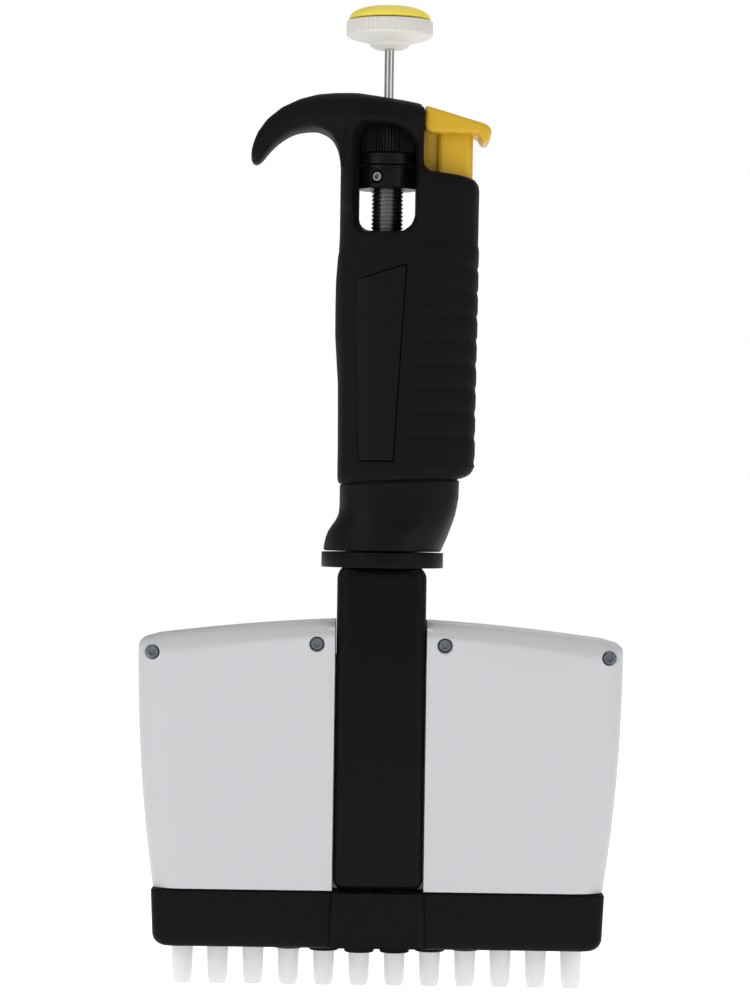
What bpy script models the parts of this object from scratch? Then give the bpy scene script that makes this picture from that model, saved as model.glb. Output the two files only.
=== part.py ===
"""Twelve-channel hand pipette, modelled piece by piece in metres, +Z up.

The origin is on the plunger's axis, at the level of the twelve cone ends.
-Y is the front, +X is the side with the tip ejector's button.
"""
import math

import bmesh
import bpy
from mathutils import Matrix, Vector

MM = 0.001

# Clearances
GAP = 0.3 * MM              # between pieces that touch, seat or slide on each other
PAST = 1.0 * MM  # how far a cut is carried past the face that it opens
FAR_PAST = 5.0 * MM  # and how far where the face is uneven
ROUGH_GAP = 0.6 * MM        # around pieces that only pass through

# Channels: cones with their cylinders, and the pistons in them
CHANNELS = 12
PITCH = 9.0 * MM
CONE_LENGTH = 10.6 * MM     # below the comb
CONE_END_R = 2.1 * MM
CONE_NOSE_R = 2.5 * MM
CONE_R = 2.8 * MM
CYLINDER_R = 3.4 * MM
CYLINDER_RIM_R = 4.2 * MM
CYLINDER_RIM = 1.7 * MM
CYLINDER_LENGTH = 20.4 * MM  # above the base plate's underside
CONE_BORE_R = 1.2 * MM
PISTON_R = 1.4 * MM
PISTON_HEAD_R = 2.5 * MM

# Movements
STROKE = 9.0 * MM           # button to first stop
EJECT = 8.0 * MM
DIAL_TRAVEL = 9.0 * MM      # nine turns of a 1 mm thread

# Module housing
HOUSING_HALF_WIDTH = 61.5 * MM
HOUSING_HALF_DEPTH = 13.2 * MM
HOUSING_HEIGHT = 68.2 * MM  # at the middle of the arched top
HOUSING_DROP = 5.1 * MM     # the arch falls this much to the ends
HOUSING_FOOT_IN = 4.4 * MM  # each side wall leans in this much at the foot
HOUSING_ROUND = 4.2 * MM
WALL = 1.8 * MM
BASE_PLATE = 6.0 * MM
CROSSBAR = 6.0 * MM
CROSSBAR_ABOVE_CYLINDERS = 16.0 * MM
BRIDGE_PLATE = 4.0 * MM
NECK_R = 6.0 * MM
NECK_BORE_R = 2.6 * MM
PUSH_ROD_R = 2.0 * MM
GUIDE_R = 1.2 * MM
GUIDE_BACK = 5.0 * MM       # guide rods stand behind the row of pistons
GUIDE_PITCHES = 3           # and this many pitches out from the middle
SCREW_R = 0.9 * MM
SCREW_HEAD_R = 1.6 * MM
SCREW_HEAD = 1.4 * MM
SCREW_LENGTH = 18.0 * MM
SCREW_BOSS_R = 2.4 * MM
SCREW_SUNK = 0.9 * MM
SCREW_OUTER_X = 57.5 * MM
SCREW_OUTER_DOWN = 8.9 * MM   # below the arch's top
SCREW_INNER_X = 16.1 * MM
SCREW_INNER_DOWN = 6.3 * MM

# Ejector frame: comb, column and flange
COMB_HEIGHT = 14.4 * MM
COMB_HALF_WIDTH = 57.2 * MM
COMB_HALF_DEPTH = 12.6 * MM
COMB_ROUND = 3.5 * MM
COMB_FLOOR = 1.6 * MM
COLLAR_R = 3.8 * MM
COLLAR_STEP = 0.42 * MM     # each collar is this much longer than its outer neighbour
COLUMN_HALF_WIDTH = 11.25 * MM
COLUMN_HALF_DEPTH = 14.2 * MM
COLUMN_WALL = 5.0 * MM      # front and back legs
COLUMN_TOP = 106.5 * MM
COLUMN_ROUND = 3.0 * MM
COLUMN_TUBE = 13.0 * MM     # height of the closed part above the housing
FLANGE_R = 15.5 * MM
FLANGE = 3.8 * MM

# Neck adaptor between the flange and the handle
ADAPTOR_HEIGHT = 17.0 * MM
ADAPTOR_FOOT_R = 15.0 * MM
ADAPTOR_HALF_DEPTH = 12.2 * MM
ADAPTOR_LEFT = -11.1 * MM
ADAPTOR_RIGHT = 19.3 * MM
SWIVEL_NUT_R = 8.0 * MM
SWIVEL_NUT = 3.6 * MM
SWIVEL_LEDGE = 9.3 * MM     # above the adaptor's foot
SEAT = 2.0 * MM

# Handle
HANDLE_HALF_DEPTH = 12.5 * MM
HANDLE_CORNER = 7.0 * MM
GRIP_LEFT = -12.0 * MM
GRIP_RIGHT = 23.2 * MM
GRIP_HEIGHT = 79.4 * MM     # seam to the ejector's shoulder
GRIP_SLOPE = 0.05           # rise of the seam per unit of width
SHOULDER_SLOPE = 0.13       # fall of the grip's top per unit of width
POST_RIGHT = 10.1 * MM
CROWN_RIGHT = 8.6 * MM
CROWN_HEIGHT = 19.4 * MM    # shoulder to the crown's top
CROWN_LEFT = -14.0 * MM
CROWN_HALF_DEPTH = 11.5 * MM
BORE_R = 9.9 * MM
LEDGE_R = 7.0 * MM
LEDGE = 2.7 * MM
WINDOW_HALF = 7.1 * MM
WINDOW_HEIGHT = 28.8 * MM
HOOK_REACH = 34.6 * MM

# Plunger
ROD_R = 1.2 * MM
DISC_R = 6.5 * MM
DISC = 2.0 * MM
BUTTON_R = 11.0 * MM
BUTTON_HUB_R = 5.2 * MM
BUTTON_CLEAR = 12.1 * MM    # crown's top to the button's hub
INSERT_R = 10.4 * MM
BUTTON_HEIGHT = 7.1 * MM
INSERT_DOME = 3.6 * MM
STOP_RING_R = 9.5 * MM
STOP_RING_BORE_R = 5.4 * MM
STOP_RING = 2.0 * MM

# Volume dial
SPINDLE_R = 4.1 * MM
KNOB_R = 7.9 * MM
KNOB_BAND_R = 8.15 * MM
KNOB_BAND = 3.0 * MM
KNOB = 10.7 * MM
KNOB_DROP = 1.3 * MM         # window's top to the knob's top
COLLAR = 5.7 * MM
KNOB_SPACE_R = 8.45 * MM
SET_SCREW_R = 1.3 * MM
SET_SCREW_TURN = math.radians(21.0)
SPINDLE_NUT_R = 7.0 * MM
SPINDLE_NUT_RIM_R = 9.0 * MM
SPINDLE_NUT = 8.0 * MM
SPINDLE_NUT_RIM = 2.0 * MM
WINDOW_FLOOR = 2.9 * MM
SLEEVE_R = 6.0 * MM
RING_R = 9.3 * MM
RING = 4.5 * MM
RING_STEP = 5.0 * MM
SLEEVE_FOOT = 6.0 * MM
LENS = 1.0 * MM
LENS_HALF_WIDTH = 4.9 * MM
LENS_RIM = 1.1 * MM

# Tip ejector in the handle
STEM_LEFT = 12.4 * MM
STEM_RIGHT = 21.6 * MM
STEM_HALF_DEPTH = 4.9 * MM
STEM_BELOW = 17.0 * MM      # below the shoulder
CAP_LEFT = 9.15 * MM
CAP_RIGHT = 26.1 * MM
CAP_HALF_DEPTH = 8.0 * MM
CAP_HEIGHT = 7.2 * MM
CAP_CLEAR = 9.6 * MM        # shoulder to the cap's underside
EJECTOR_ROD_R = 1.5 * MM
EJECTOR_ROD_X = 16.8 * MM
EJECTOR_FOOT_X = 12.0 * MM
EJECTOR_SPRING = 18.0 * MM

# Levels, from the cone ends up
comb_low = CONE_LENGTH
comb_high = comb_low + COMB_HEIGHT
housing_low = comb_high + GAP
housing_high = housing_low + HOUSING_HEIGHT
base_low = housing_low + GAP
base_high = base_low + BASE_PLATE
cylinder_high = base_low + CYLINDER_LENGTH
crossbar_low = cylinder_high + CROSSBAR_ABOVE_CYLINDERS
crossbar_high = crossbar_low + CROSSBAR
notch_low = housing_high - 9.6 * MM
bridge_high = notch_low - 2.0 * MM
bridge_low = bridge_high - BRIDGE_PLATE
flange_low = COLUMN_TOP
flange_high = flange_low + FLANGE
adaptor_low = flange_high + GAP
nut_low = adaptor_low + SWIVEL_LEDGE + GAP
neck_high = nut_low + SWIVEL_NUT + GAP
seam = adaptor_low + ADAPTOR_HEIGHT
seat_low = seam - SEAT
shoulder = seam + GRIP_HEIGHT
crown_high = shoulder + CROWN_HEIGHT
push_rod_high = adaptor_low + 8.0 * MM
window_low = crown_high - 5.8 * MM - WINDOW_HEIGHT
window_high = window_low + WINDOW_HEIGHT
knob_high = window_high - KNOB_DROP
knob_low = knob_high - KNOB
collar_low = knob_low - GAP - COLLAR
nut_top = window_low - WINDOW_FLOOR
nut_bottom = nut_top - SPINDLE_NUT
ring_high = nut_bottom - GAP - 1.0 * MM
ring_low = [ring_high - RING - RING_STEP * i for i in range(3)]
sleeve_low = ring_low[2] - SLEEVE_FOOT
ledge_high = sleeve_low - GAP
ledge_low = ledge_high - LEDGE
spindle_low = sleeve_low + 7.0 * MM
disc_high = min(ledge_low, spindle_low - DIAL_TRAVEL) - 3.0 * MM
disc_low = disc_high - DISC
stop_high = disc_low - STROKE - GAP
stop_low = stop_high - STOP_RING
button_low = crown_high + BUTTON_CLEAR
button_high = button_low + BUTTON_HEIGHT
stem_low = shoulder - STEM_BELOW
spring_floor = stem_low - EJECTOR_SPRING
cap_low = shoulder + CAP_CLEAR
cap_high = cap_low + CAP_HEIGHT
column_back = COLUMN_HALF_DEPTH - COLUMN_WALL
channel_depth = column_back - GAP
column_tube_low = flange_low - COLUMN_TUBE
channel_x = [PITCH * (i - (CHANNELS - 1) / 2) for i in range(CHANNELS)]

FINISHES = {
    "black_plastic": ((0.012, 0.012, 0.013), 0.5, 0.0),
    "housing_plastic": ((0.63, 0.64, 0.67), 0.4, 0.0),
    "cone_plastic": ((0.72, 0.75, 0.74), 0.35, 0.0),
    "button_plastic": ((0.68, 0.67, 0.62), 0.4, 0.0),
    "yellow_plastic": ((0.85, 0.68, 0.05), 0.4, 0.0),
    "amber_plastic": ((0.67, 0.40, 0.03), 0.4, 0.0),
    "steel": ((0.55, 0.55, 0.55), 0.25, 1.0),
    "brass": ((0.6, 0.42, 0.15), 0.3, 1.0),
    "clear_plastic": ((0.8, 0.82, 0.84), 0.1, 0.0),
    "digit_plastic": ((0.75, 0.75, 0.73), 0.45, 0.0),
    "dark_steel": ((0.05, 0.05, 0.055), 0.35, 1.0),
}

for old in list(bpy.data.objects):
    bpy.data.objects.remove(old, do_unlink=True)

parts = bpy.data.collections.new("multichannel_pipette")
tools = bpy.data.collections.new("cutters")
bpy.context.scene.collection.children.link(parts)
bpy.context.scene.collection.children.link(tools)


def finish(name):
    """The material of that name, made on first use."""
    made = bpy.data.materials.get(name)
    if made:
        return made
    colour, roughness, metallic = FINISHES[name]
    made = bpy.data.materials.new(name)
    made.use_nodes = True
    shader = made.node_tree.nodes["Principled BSDF"]
    shader.inputs["Base Color"].default_value = (*colour, 1.0)
    shader.inputs["Roughness"].default_value = roughness
    shader.inputs["Metallic"].default_value = metallic
    return made


def place(name, data, look, where=(0.0, 0.0, 0.0)):
    """Put a piece in the parts collection, or a cutter in the other when it has no look."""
    item = bpy.data.objects.new(name, data)
    item.location = where
    if look:
        parts.objects.link(item)
        data.materials.append(finish(look))
    else:
        tools.objects.link(item)
        item.hide_render = True
        item.display_type = "WIRE"
    return item


def turned(name, profile, look, x=0.0, y=0.0, steps=24):
    """A body of (radius, height) points, down the outside and back up the bore if it has one."""
    mesh = bpy.data.meshes.new(name)
    count = len(profile)
    closed = profile[0][0] > 0.0
    edges = [(i, i + 1) for i in range(count - 1)]
    if closed:
        edges.append((count - 1, 0))
    mesh.from_pydata([(r, 0.0, z) for r, z in profile], edges, [])
    item = place(name, mesh, look, (x, y, 0.0))
    screw = item.modifiers.new("Turn", "SCREW")
    screw.axis = "Z"
    screw.steps = steps
    screw.render_steps = steps
    screw.use_merge_vertices = True
    screw.merge_threshold = 0.00001
    screw.use_smooth_shade = True
    return item


def tube(low, high, outer, bore):
    """The profile of a plain ring or tube."""
    return [(outer, high), (outer, low), (bore, low), (bore, high)]


def rod(low, high, radius):
    """The profile of a plain round rod."""
    return [(0.0, high), (radius, high), (radius, low), (0.0, low)]


def block(name, low, high, look, edge=0.0, upright_only=False):
    """A box between two corners, with rounded edges if asked."""
    shape = bmesh.new()
    bmesh.ops.create_cube(shape, size=1.0)
    low = Vector(low)
    high = Vector(high)
    size = high - low
    bmesh.ops.scale(shape, vec=size, verts=shape.verts)
    bmesh.ops.translate(shape, vec=(low + high) / 2, verts=shape.verts)
    if edge:
        chosen = [
            e for e in shape.edges
            if not upright_only or abs(e.verts[0].co.z - e.verts[1].co.z) > size.z / 2
        ]
        bmesh.ops.bevel(shape, geom=chosen, offset=edge, segments=3, profile=0.5, affect="EDGES")
    mesh = bpy.data.meshes.new(name)
    shape.to_mesh(mesh)
    shape.free()
    return place(name, mesh, look)


def loft(name, rings, look):
    """A closed body through rings of points, each with as many points as the next."""
    shape = bmesh.new()
    loops = [[shape.verts.new(point) for point in ring] for ring in rings]
    for low, high in zip(loops, loops[1:]):
        for i in range(len(low)):
            j = (i + 1) % len(low)
            shape.faces.new((low[i], low[j], high[j], high[i]))
    shape.faces.new(loops[0])
    shape.faces.new(loops[-1])
    bmesh.ops.recalc_face_normals(shape, faces=shape.faces)
    mesh = bpy.data.meshes.new(name)
    shape.to_mesh(mesh)
    shape.free()
    return place(name, mesh, look)


def rounded(left, right, half_depth, corner, height, arc=5):
    """A ring in plan: a rounded rectangle whose height may depend on x."""
    corner = min(corner, half_depth, (right - left) / 2)
    centres = [
        (right - corner, half_depth - corner, 0.0),
        (left + corner, half_depth - corner, 0.5),
        (left + corner, corner - half_depth, 1.0),
        (right - corner, corner - half_depth, 1.5),
    ]
    ring = []
    for cx, cy, start in centres:
        for i in range(arc):
            turn = math.pi * (start + 0.5 * i / (arc - 0.999))
            x = cx + corner * math.cos(turn)
            ring.append((x, cy + corner * math.sin(turn), height(x)))
    return ring


def upright(name, outline, back, front, look):
    """A flat outline of (x, z) points, standing between two depths."""
    curve = bpy.data.curves.new(name, "CURVE")
    curve.dimensions = "2D"
    curve.fill_mode = "BOTH"
    curve.extrude = abs(front - back) / 2
    spline = curve.splines.new("POLY")
    spline.points.add(len(outline) - 1)
    for point, (x, z) in zip(spline.points, outline):
        point.co = (x, z, 0.0, 1.0)
    spline.use_cyclic_u = True
    flat = place(name + "_outline", curve, None)
    stand = Matrix.Translation((0.0, (front + back) / 2, 0.0)) @ Matrix.Rotation(math.pi / 2, 4, "X")
    seen = flat.evaluated_get(bpy.context.evaluated_depsgraph_get())
    mesh = bpy.data.meshes.new_from_object(seen)
    bpy.data.objects.remove(flat, do_unlink=True)
    shape = bmesh.new()
    shape.from_mesh(mesh)
    bmesh.ops.remove_doubles(shape, verts=shape.verts, dist=0.000001)
    bmesh.ops.transform(shape, matrix=stand, verts=shape.verts)
    bmesh.ops.recalc_face_normals(shape, faces=shape.faces)
    shape.to_mesh(mesh)
    shape.free()
    mesh.name = name
    return place(name, mesh, look)


def work(item, tool, how="DIFFERENCE"):
    """Cut a piece with a tool, or join the tool to it."""
    step = item.modifiers.new(tool.name, "BOOLEAN")
    step.operation = how
    step.object = tool
    step.solver = "EXACT"


def smooth(item, angle=35.0):
    """Shade a mesh piece smooth, but for its real edges."""
    item.data.shade_smooth()
    item.data.set_sharp_from_angle(angle=math.radians(angle))


def coil(name, low, high, radius, wire, turns, look, x=0.0):
    """A compression spring, as a wire along a helix."""
    curve = bpy.data.curves.new(name, "CURVE")
    curve.dimensions = "3D"
    curve.bevel_depth = wire
    curve.bevel_resolution = 2
    curve.use_fill_caps = True
    spline = curve.splines.new("POLY")
    count = 9 * turns
    spline.points.add(count)
    for i, point in enumerate(spline.points):
        turn = 2 * math.pi * i / 9
        height = low + wire + (high - low - 2 * wire) * i / count
        point.co = (radius * math.cos(turn), radius * math.sin(turn), height, 1.0)
    return place(name, curve, look, (x, 0.0, 0.0))


def carrier(name, x, z, members):
    """An empty on a joint's axis, with the pieces that move with it."""
    axis = bpy.data.objects.new(name, None)
    axis.location = (x, 0.0, z)
    axis.empty_display_size = 0.01
    parts.objects.link(axis)
    for member in members:
        member.parent = axis
        member.location -= axis.location
    return axis


# ---------------------------------------------------------------- cones and pistons

def cone_and_piston(number, x):
    """One channel: the cone with its cylinder, and the piston that runs in it."""
    bore = PISTON_R + GAP
    step = cylinder_high - CROSSBAR_ABOVE_CYLINDERS - STROKE
    cone = turned(f"tip_cone_{number:02d}", [
        (CYLINDER_R, cylinder_high),
        (CYLINDER_R, base_high + GAP + CYLINDER_RIM),
        (CYLINDER_RIM_R, base_high + GAP + CYLINDER_RIM),
        (CYLINDER_RIM_R, base_high + GAP),
        (CYLINDER_R, base_high + GAP),
        (CYLINDER_R, comb_low + COMB_FLOOR + 1.4 * MM),
        (CONE_R, comb_low + COMB_FLOOR + 0.6 * MM),
        (CONE_R, comb_low),
        (CONE_NOSE_R, 1.2 * MM),
        (CONE_END_R, 0.0),
        (CONE_BORE_R, 0.0),
        (CONE_BORE_R, step - 1.0 * MM),
        (bore, step),
        (bore, cylinder_high),
    ], "cone_plastic", x=x, steps=12)
    low = cylinder_high - STROKE - 1.0 * MM
    head = crossbar_high + GAP
    piston = turned(f"piston_{number:02d}", [
        (0.0, head + 1.2 * MM),
        (PISTON_HEAD_R, head + 1.2 * MM),
        (PISTON_HEAD_R, head),
        (PISTON_R, head),
        (PISTON_R, low),
        (0.0, low),
    ], "steel", x=x, steps=8)
    return cone, piston


channels = [cone_and_piston(i + 1, x) for i, x in enumerate(channel_x)]
cones = [pair[0] for pair in channels]
pistons = [pair[1] for pair in channels]


# ---------------------------------------------------------------- module housing

def side_width(z):
    """Half width of the housing at a height: the walls bow out to the top."""
    up = min(max((z - housing_low) / (HOUSING_HEIGHT - HOUSING_DROP), 0.0), 1.0)
    return HOUSING_HALF_WIDTH - HOUSING_FOOT_IN * (1.0 - up) ** 2.2


def arch(x):
    """Height of the housing's arched top."""
    return housing_high - HOUSING_DROP * (abs(x) / HOUSING_HALF_WIDTH) ** 1.7


def housing_ring(depth, inset, wall=0.0):
    """The housing's outline at a depth, drawn in on the sides and the top but not at the foot."""
    low = housing_low - (PAST if wall else 0.0)
    levels = [housing_low + HOUSING_HEIGHT * k for k in (0.0, 0.18, 0.36, 0.54, 0.72, 0.86)]
    levels[0] = low
    right = [(side_width(z), z) for z in levels]
    corner = arch(HOUSING_HALF_WIDTH)
    right.append((HOUSING_HALF_WIDTH - 0.3 * MM, corner - 1.8 * MM))
    right.append((HOUSING_HALF_WIDTH - 1.8 * MM, corner + 0.1 * MM))
    spans = (0.8, 0.62, 0.44, 0.24)
    right += [(HOUSING_HALF_WIDTH * k, arch(HOUSING_HALF_WIDTH * k)) for k in spans]
    taken = inset + wall
    half = []
    for x, z in right:
        top_share = (z - housing_low) / HOUSING_HEIGHT
        half.append((x * (1 - taken / HOUSING_HALF_WIDTH), z - max(top_share, 0.0) * taken))
    ring = half + [(-x, z) for x, z in reversed(half)]
    return [(x, depth, z) for x, z in ring]


def housing_form(name, facing, wall, look):
    """Outer form of a cover, or with a wall the hollow in it; facing is -1 front or 1 rear."""
    depths = [(-PAST if wall else GAP / 2, 0.0)]
    for turn in (0.0, 30.0, 60.0, 90.0):
        inset = HOUSING_ROUND * (1 - math.cos(math.radians(turn)))
        back = HOUSING_HALF_DEPTH - HOUSING_ROUND * (1 - math.sin(math.radians(turn)))
        depths.append((back - wall, inset))
    return loft(name, [housing_ring(facing * y, inset, wall) for y, inset in depths], look)


screw_places = []
for side in (-1, 1):
    screw_places.append((side * SCREW_OUTER_X, housing_high - SCREW_OUTER_DOWN, 2.6 * MM))
    screw_places.append((side * SCREW_INNER_X, housing_high - SCREW_INNER_DOWN, 1.2 * MM))


def along_depth(item, x, z):
    """Lay a turned piece so that its axis points to the front."""
    item.rotation_euler = (math.pi / 2, 0.0, 0.0)
    item.location = (x, 0.0, z)
    return item


def cover(name, facing):
    """One half of the housing, with the recess that the ejector's column runs in."""
    shell = housing_form(name, facing, 0.0, "housing_plastic")
    work(shell, housing_form(name + "_hollow", facing, WALL, None))
    reach = sorted((facing * (channel_depth - WALL), facing * (HOUSING_HALF_DEPTH - 1.4 * MM)))
    half = COLUMN_HALF_WIDTH + GAP
    cheek = half + 1.5 * MM
    rib_high = housing_high - 1.9 * MM
    rib_low = housing_low + GAP
    rib = block(name + "_rib", (-cheek, reach[0], rib_low), (cheek, reach[1], rib_high), None)
    work(shell, rib, "UNION")
    for index, (x, z, start) in enumerate(screw_places):
        ends = sorted((-facing * (HOUSING_HALF_DEPTH - start), -facing * GAP / 2))
        post = turned(f"{name}_boss_{index}", rod(ends[0], ends[1], SCREW_BOSS_R), None, steps=16)
        work(shell, along_depth(post, x, z), "UNION")
    far = sorted((facing * channel_depth, facing * (HOUSING_HALF_DEPTH + FAR_PAST)))
    low = housing_low - PAST
    high = housing_high + PAST
    work(shell, block(name + "_channel", (-half, far[0], low), (half, far[1], high), None))
    full = sorted((-facing * PAST, facing * (HOUSING_HALF_DEPTH + FAR_PAST)))
    notch = block(name + "_notch", (-half, full[0], notch_low), (half, full[1], high), None)
    work(shell, notch)
    for index, (x, z, start) in enumerate(screw_places):
        if facing < 0:
            face = HOUSING_HALF_DEPTH + PAST
            seat = HOUSING_HALF_DEPTH - SCREW_SUNK - SCREW_HEAD - GAP
            profile = [
                (0.0, face),
                (SCREW_HEAD_R + GAP, face),
                (SCREW_HEAD_R + GAP, seat),
                (SCREW_R + GAP, seat),
                (SCREW_R + GAP, -PAST),
                (0.0, -PAST),
            ]
        else:
            deep = SCREW_LENGTH - HOUSING_HALF_DEPTH + SCREW_HEAD + 2.0 * MM
            profile = rod(-deep, PAST, SCREW_R + GAP)
        hole = turned(f"{name}_hole_{index}", profile, None, steps=14)
        work(shell, along_depth(hole, x, z))
    smooth(shell, 28.0)
    return shell


front_cover = cover("front_cover", -1)
rear_cover = cover("rear_cover", 1)

screws = []
for index, (x, z, start) in enumerate(screw_places):
    top = HOUSING_HALF_DEPTH - SCREW_SUNK
    under = top - SCREW_HEAD
    profile = [
        (0.0, top),
        (SCREW_HEAD_R, top),
        (SCREW_HEAD_R, under),
        (SCREW_R, under),
        (SCREW_R, under - SCREW_LENGTH),
        (0.0, under - SCREW_LENGTH),
    ]
    screw = turned(f"cover_screw_{index + 1}", profile, "dark_steel", steps=16)
    screws.append(along_depth(screw, x, z))


# ---------------------------------------------------------------- module frame

inner_half_depth = channel_depth - WALL - GAP
guide_x = PITCH * GUIDE_PITCHES
frame_half_width = channel_x[-1] + CYLINDER_RIM_R + 0.6 * MM


def drilled(item, places, radius, low, high, prefix):
    """Drill upright round holes at (x, y) places."""
    for index, (x, y) in enumerate(places):
        profile = rod(low - PAST, high + PAST, radius)
        work(item, turned(f"{prefix}_{index}", profile, None, x=x, y=y, steps=12))


row = [(x, 0.0) for x in channel_x]
guides = [(-guide_x, GUIDE_BACK), (guide_x, GUIDE_BACK)]

base_plate = block(
    "base_plate",
    (-frame_half_width, -inner_half_depth, base_low),
    (frame_half_width, inner_half_depth, base_high),
    "black_plastic", 0.8 * MM, True)
drilled(base_plate, row, CYLINDER_R + GAP, base_low, base_high, "cone_seat")
guide_low = base_high - 3.0 * MM
for index, (x, y) in enumerate(guides):
    profile = rod(guide_low - GAP, base_high + PAST, GUIDE_R + GAP)
    work(base_plate, turned(f"guide_seat_{index}", profile, None, x=x, y=y, steps=16))

crossbar = block(
    "crossbar",
    (-frame_half_width, -inner_half_depth, crossbar_low),
    (frame_half_width, inner_half_depth, crossbar_high),
    "black_plastic", 0.8 * MM, True)
drilled(crossbar, row, PISTON_R + GAP, crossbar_low, crossbar_high, "piston_hole")
drilled(crossbar, guides, GUIDE_R + GAP, crossbar_low, crossbar_high, "guide_hole")

neck_foot = bridge_high - 0.5 * MM
neck_frame = block(
    "neck_frame",
    (-frame_half_width, -inner_half_depth, bridge_low),
    (frame_half_width, inner_half_depth, bridge_high),
    "black_plastic", 0.8 * MM, True)
work(neck_frame, turned("neck_post", rod(neck_foot, neck_high, NECK_R), None), "UNION")
drilled(neck_frame, [(0.0, 0.0)], NECK_BORE_R, bridge_low, neck_high, "neck_bore")
guide_high = bridge_low + 2.5 * MM
for index, (x, y) in enumerate(guides):
    profile = rod(bridge_low - PAST, guide_high + GAP, GUIDE_R + GAP)
    work(neck_frame, turned(f"guide_cap_{index}", profile, None, x=x, y=y, steps=16))

guide_rods = []
for side, (x, y) in zip(("left", "right"), guides):
    profile = rod(guide_low, guide_high, GUIDE_R)
    guide_rods.append(turned("guide_rod_" + side, profile, "steel", x=x, y=y, steps=12))

swivel_nut = turned(
    "swivel_nut", tube(nut_low, nut_low + SWIVEL_NUT, SWIVEL_NUT_R, NECK_R + GAP), "brass")

push_rod = turned("push_rod", rod(crossbar_high + GAP, push_rod_high, PUSH_ROD_R), "steel", steps=16)


# ---------------------------------------------------------------- ejector frame

comb_wall = 1.6 * MM
comb_foot_half = COLUMN_HALF_WIDTH + 1.2 * MM

foot_in = 0.6 * MM
comb_outline = []
for cx, cz, start in ((-1, 0, 180), (1, 0, 270)):
    for step in range(4):
        turn = math.radians(start + 30 * step)
        x = cx * (COMB_HALF_WIDTH - foot_in - COMB_ROUND) + COMB_ROUND * math.cos(turn)
        comb_outline.append((x, comb_low + COMB_ROUND + COMB_ROUND * math.sin(turn)))
comb_outline += [(COMB_HALF_WIDTH, comb_high), (-COMB_HALF_WIDTH, comb_high)]

comb = upright("ejector_comb", comb_outline, -COMB_HALF_DEPTH, COMB_HALF_DEPTH, "black_plastic")
foot = block(
    "comb_foot",
    (-comb_foot_half, -COLUMN_HALF_DEPTH, comb_low + GAP),
    (comb_foot_half, COLUMN_HALF_DEPTH, comb_high - GAP),
    None, COLUMN_ROUND, True)
work(comb, foot, "UNION")
trough = block(
    "comb_trough",
    (-COMB_HALF_WIDTH + comb_wall, -COMB_HALF_DEPTH + comb_wall, comb_low + COMB_FLOOR),
    (COMB_HALF_WIDTH - comb_wall, COMB_HALF_DEPTH - comb_wall, comb_high + FAR_PAST),
    None, 1.5 * MM, True)
work(comb, trough)
for index, x in enumerate(channel_x):
    rank = min(index, CHANNELS - 1 - index)
    low = comb_low - COLLAR_STEP * rank
    if rank:
        profile = rod(low, comb_low + COMB_FLOOR / 2, COLLAR_R)
        work(comb, turned(f"collar_{index}", profile, None, x=x, steps=14), "UNION")
drilled(comb, row, CONE_R + GAP, comb_low - 4.0 * MM, comb_low + COMB_FLOOR, "collar_hole")

column = block(
    "ejector_column",
    (-COLUMN_HALF_WIDTH, -COLUMN_HALF_DEPTH, comb_high + GAP),
    (COLUMN_HALF_WIDTH, COLUMN_HALF_DEPTH, flange_low + 0.5 * MM),
    "black_plastic", COLUMN_ROUND, True)
work(column, turned("column_flange", rod(flange_low, flange_high, FLANGE_R), None, steps=48), "UNION")
work(column, block(
    "column_span",
    (-2 * COLUMN_HALF_WIDTH, -column_back, comb_high - 2.0 * MM),
    (2 * COLUMN_HALF_WIDTH, column_back, column_tube_low),
    None))
drilled(column, [(0.0, 0.0)], NECK_R + GAP, column_tube_low, flange_high, "flange_hole")


# ---------------------------------------------------------------- neck adaptor

def seam_line(x):
    """The joint between adaptor and handle rises to the ejector's side."""
    return seam + GRIP_SLOPE * (x - ADAPTOR_LEFT)


def level(height):
    """A constant height, as a ring's height rule."""
    return lambda x: height


foot_r = ADAPTOR_FOOT_R
adaptor_rings = [
    rounded(-foot_r, foot_r, foot_r, foot_r, level(adaptor_low)),
    rounded(-foot_r + 0.6 * MM, foot_r + 1.4 * MM, foot_r - 0.4 * MM, 14.0 * MM,
            level(adaptor_low + 3.4 * MM)),
    rounded(-foot_r + 1.7 * MM, foot_r + 2.2 * MM, foot_r - 1.2 * MM, 12.5 * MM,
            level(adaptor_low + 5.9 * MM)),
    rounded(ADAPTOR_LEFT, ADAPTOR_RIGHT - 1.2 * MM, ADAPTOR_HALF_DEPTH + 0.5 * MM, 11.0 * MM,
            level(adaptor_low + 8.6 * MM)),
    rounded(ADAPTOR_LEFT, ADAPTOR_RIGHT, ADAPTOR_HALF_DEPTH, 9.0 * MM,
            level(adaptor_low + 13.4 * MM)),
    rounded(ADAPTOR_LEFT, ADAPTOR_RIGHT, ADAPTOR_HALF_DEPTH, 9.0 * MM,
            lambda x: seam_line(x) - GAP),
]
adaptor = loft("neck_adaptor", adaptor_rings, "black_plastic")
neck_hole = turned("adaptor_bore", [
    (0.0, seam + 4.0 * MM),
    (BORE_R, seam + 4.0 * MM),
    (BORE_R, seat_low - GAP),
    (SWIVEL_NUT_R + GAP, seat_low - GAP),
    (SWIVEL_NUT_R + GAP, nut_low - GAP),
    (NECK_R + GAP, nut_low - GAP),
    (NECK_R + GAP, adaptor_low - PAST),
    (0.0, adaptor_low - PAST),
], None)
work(adaptor, neck_hole)
way = EJECTOR_ROD_R + ROUGH_GAP
work(adaptor, block(
    "adaptor_way",
    (BORE_R - ROUGH_GAP, -way, adaptor_low - PAST),
    (EJECTOR_FOOT_X + way, way, seam + 4.0 * MM),
    None))
smooth(adaptor)

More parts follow.
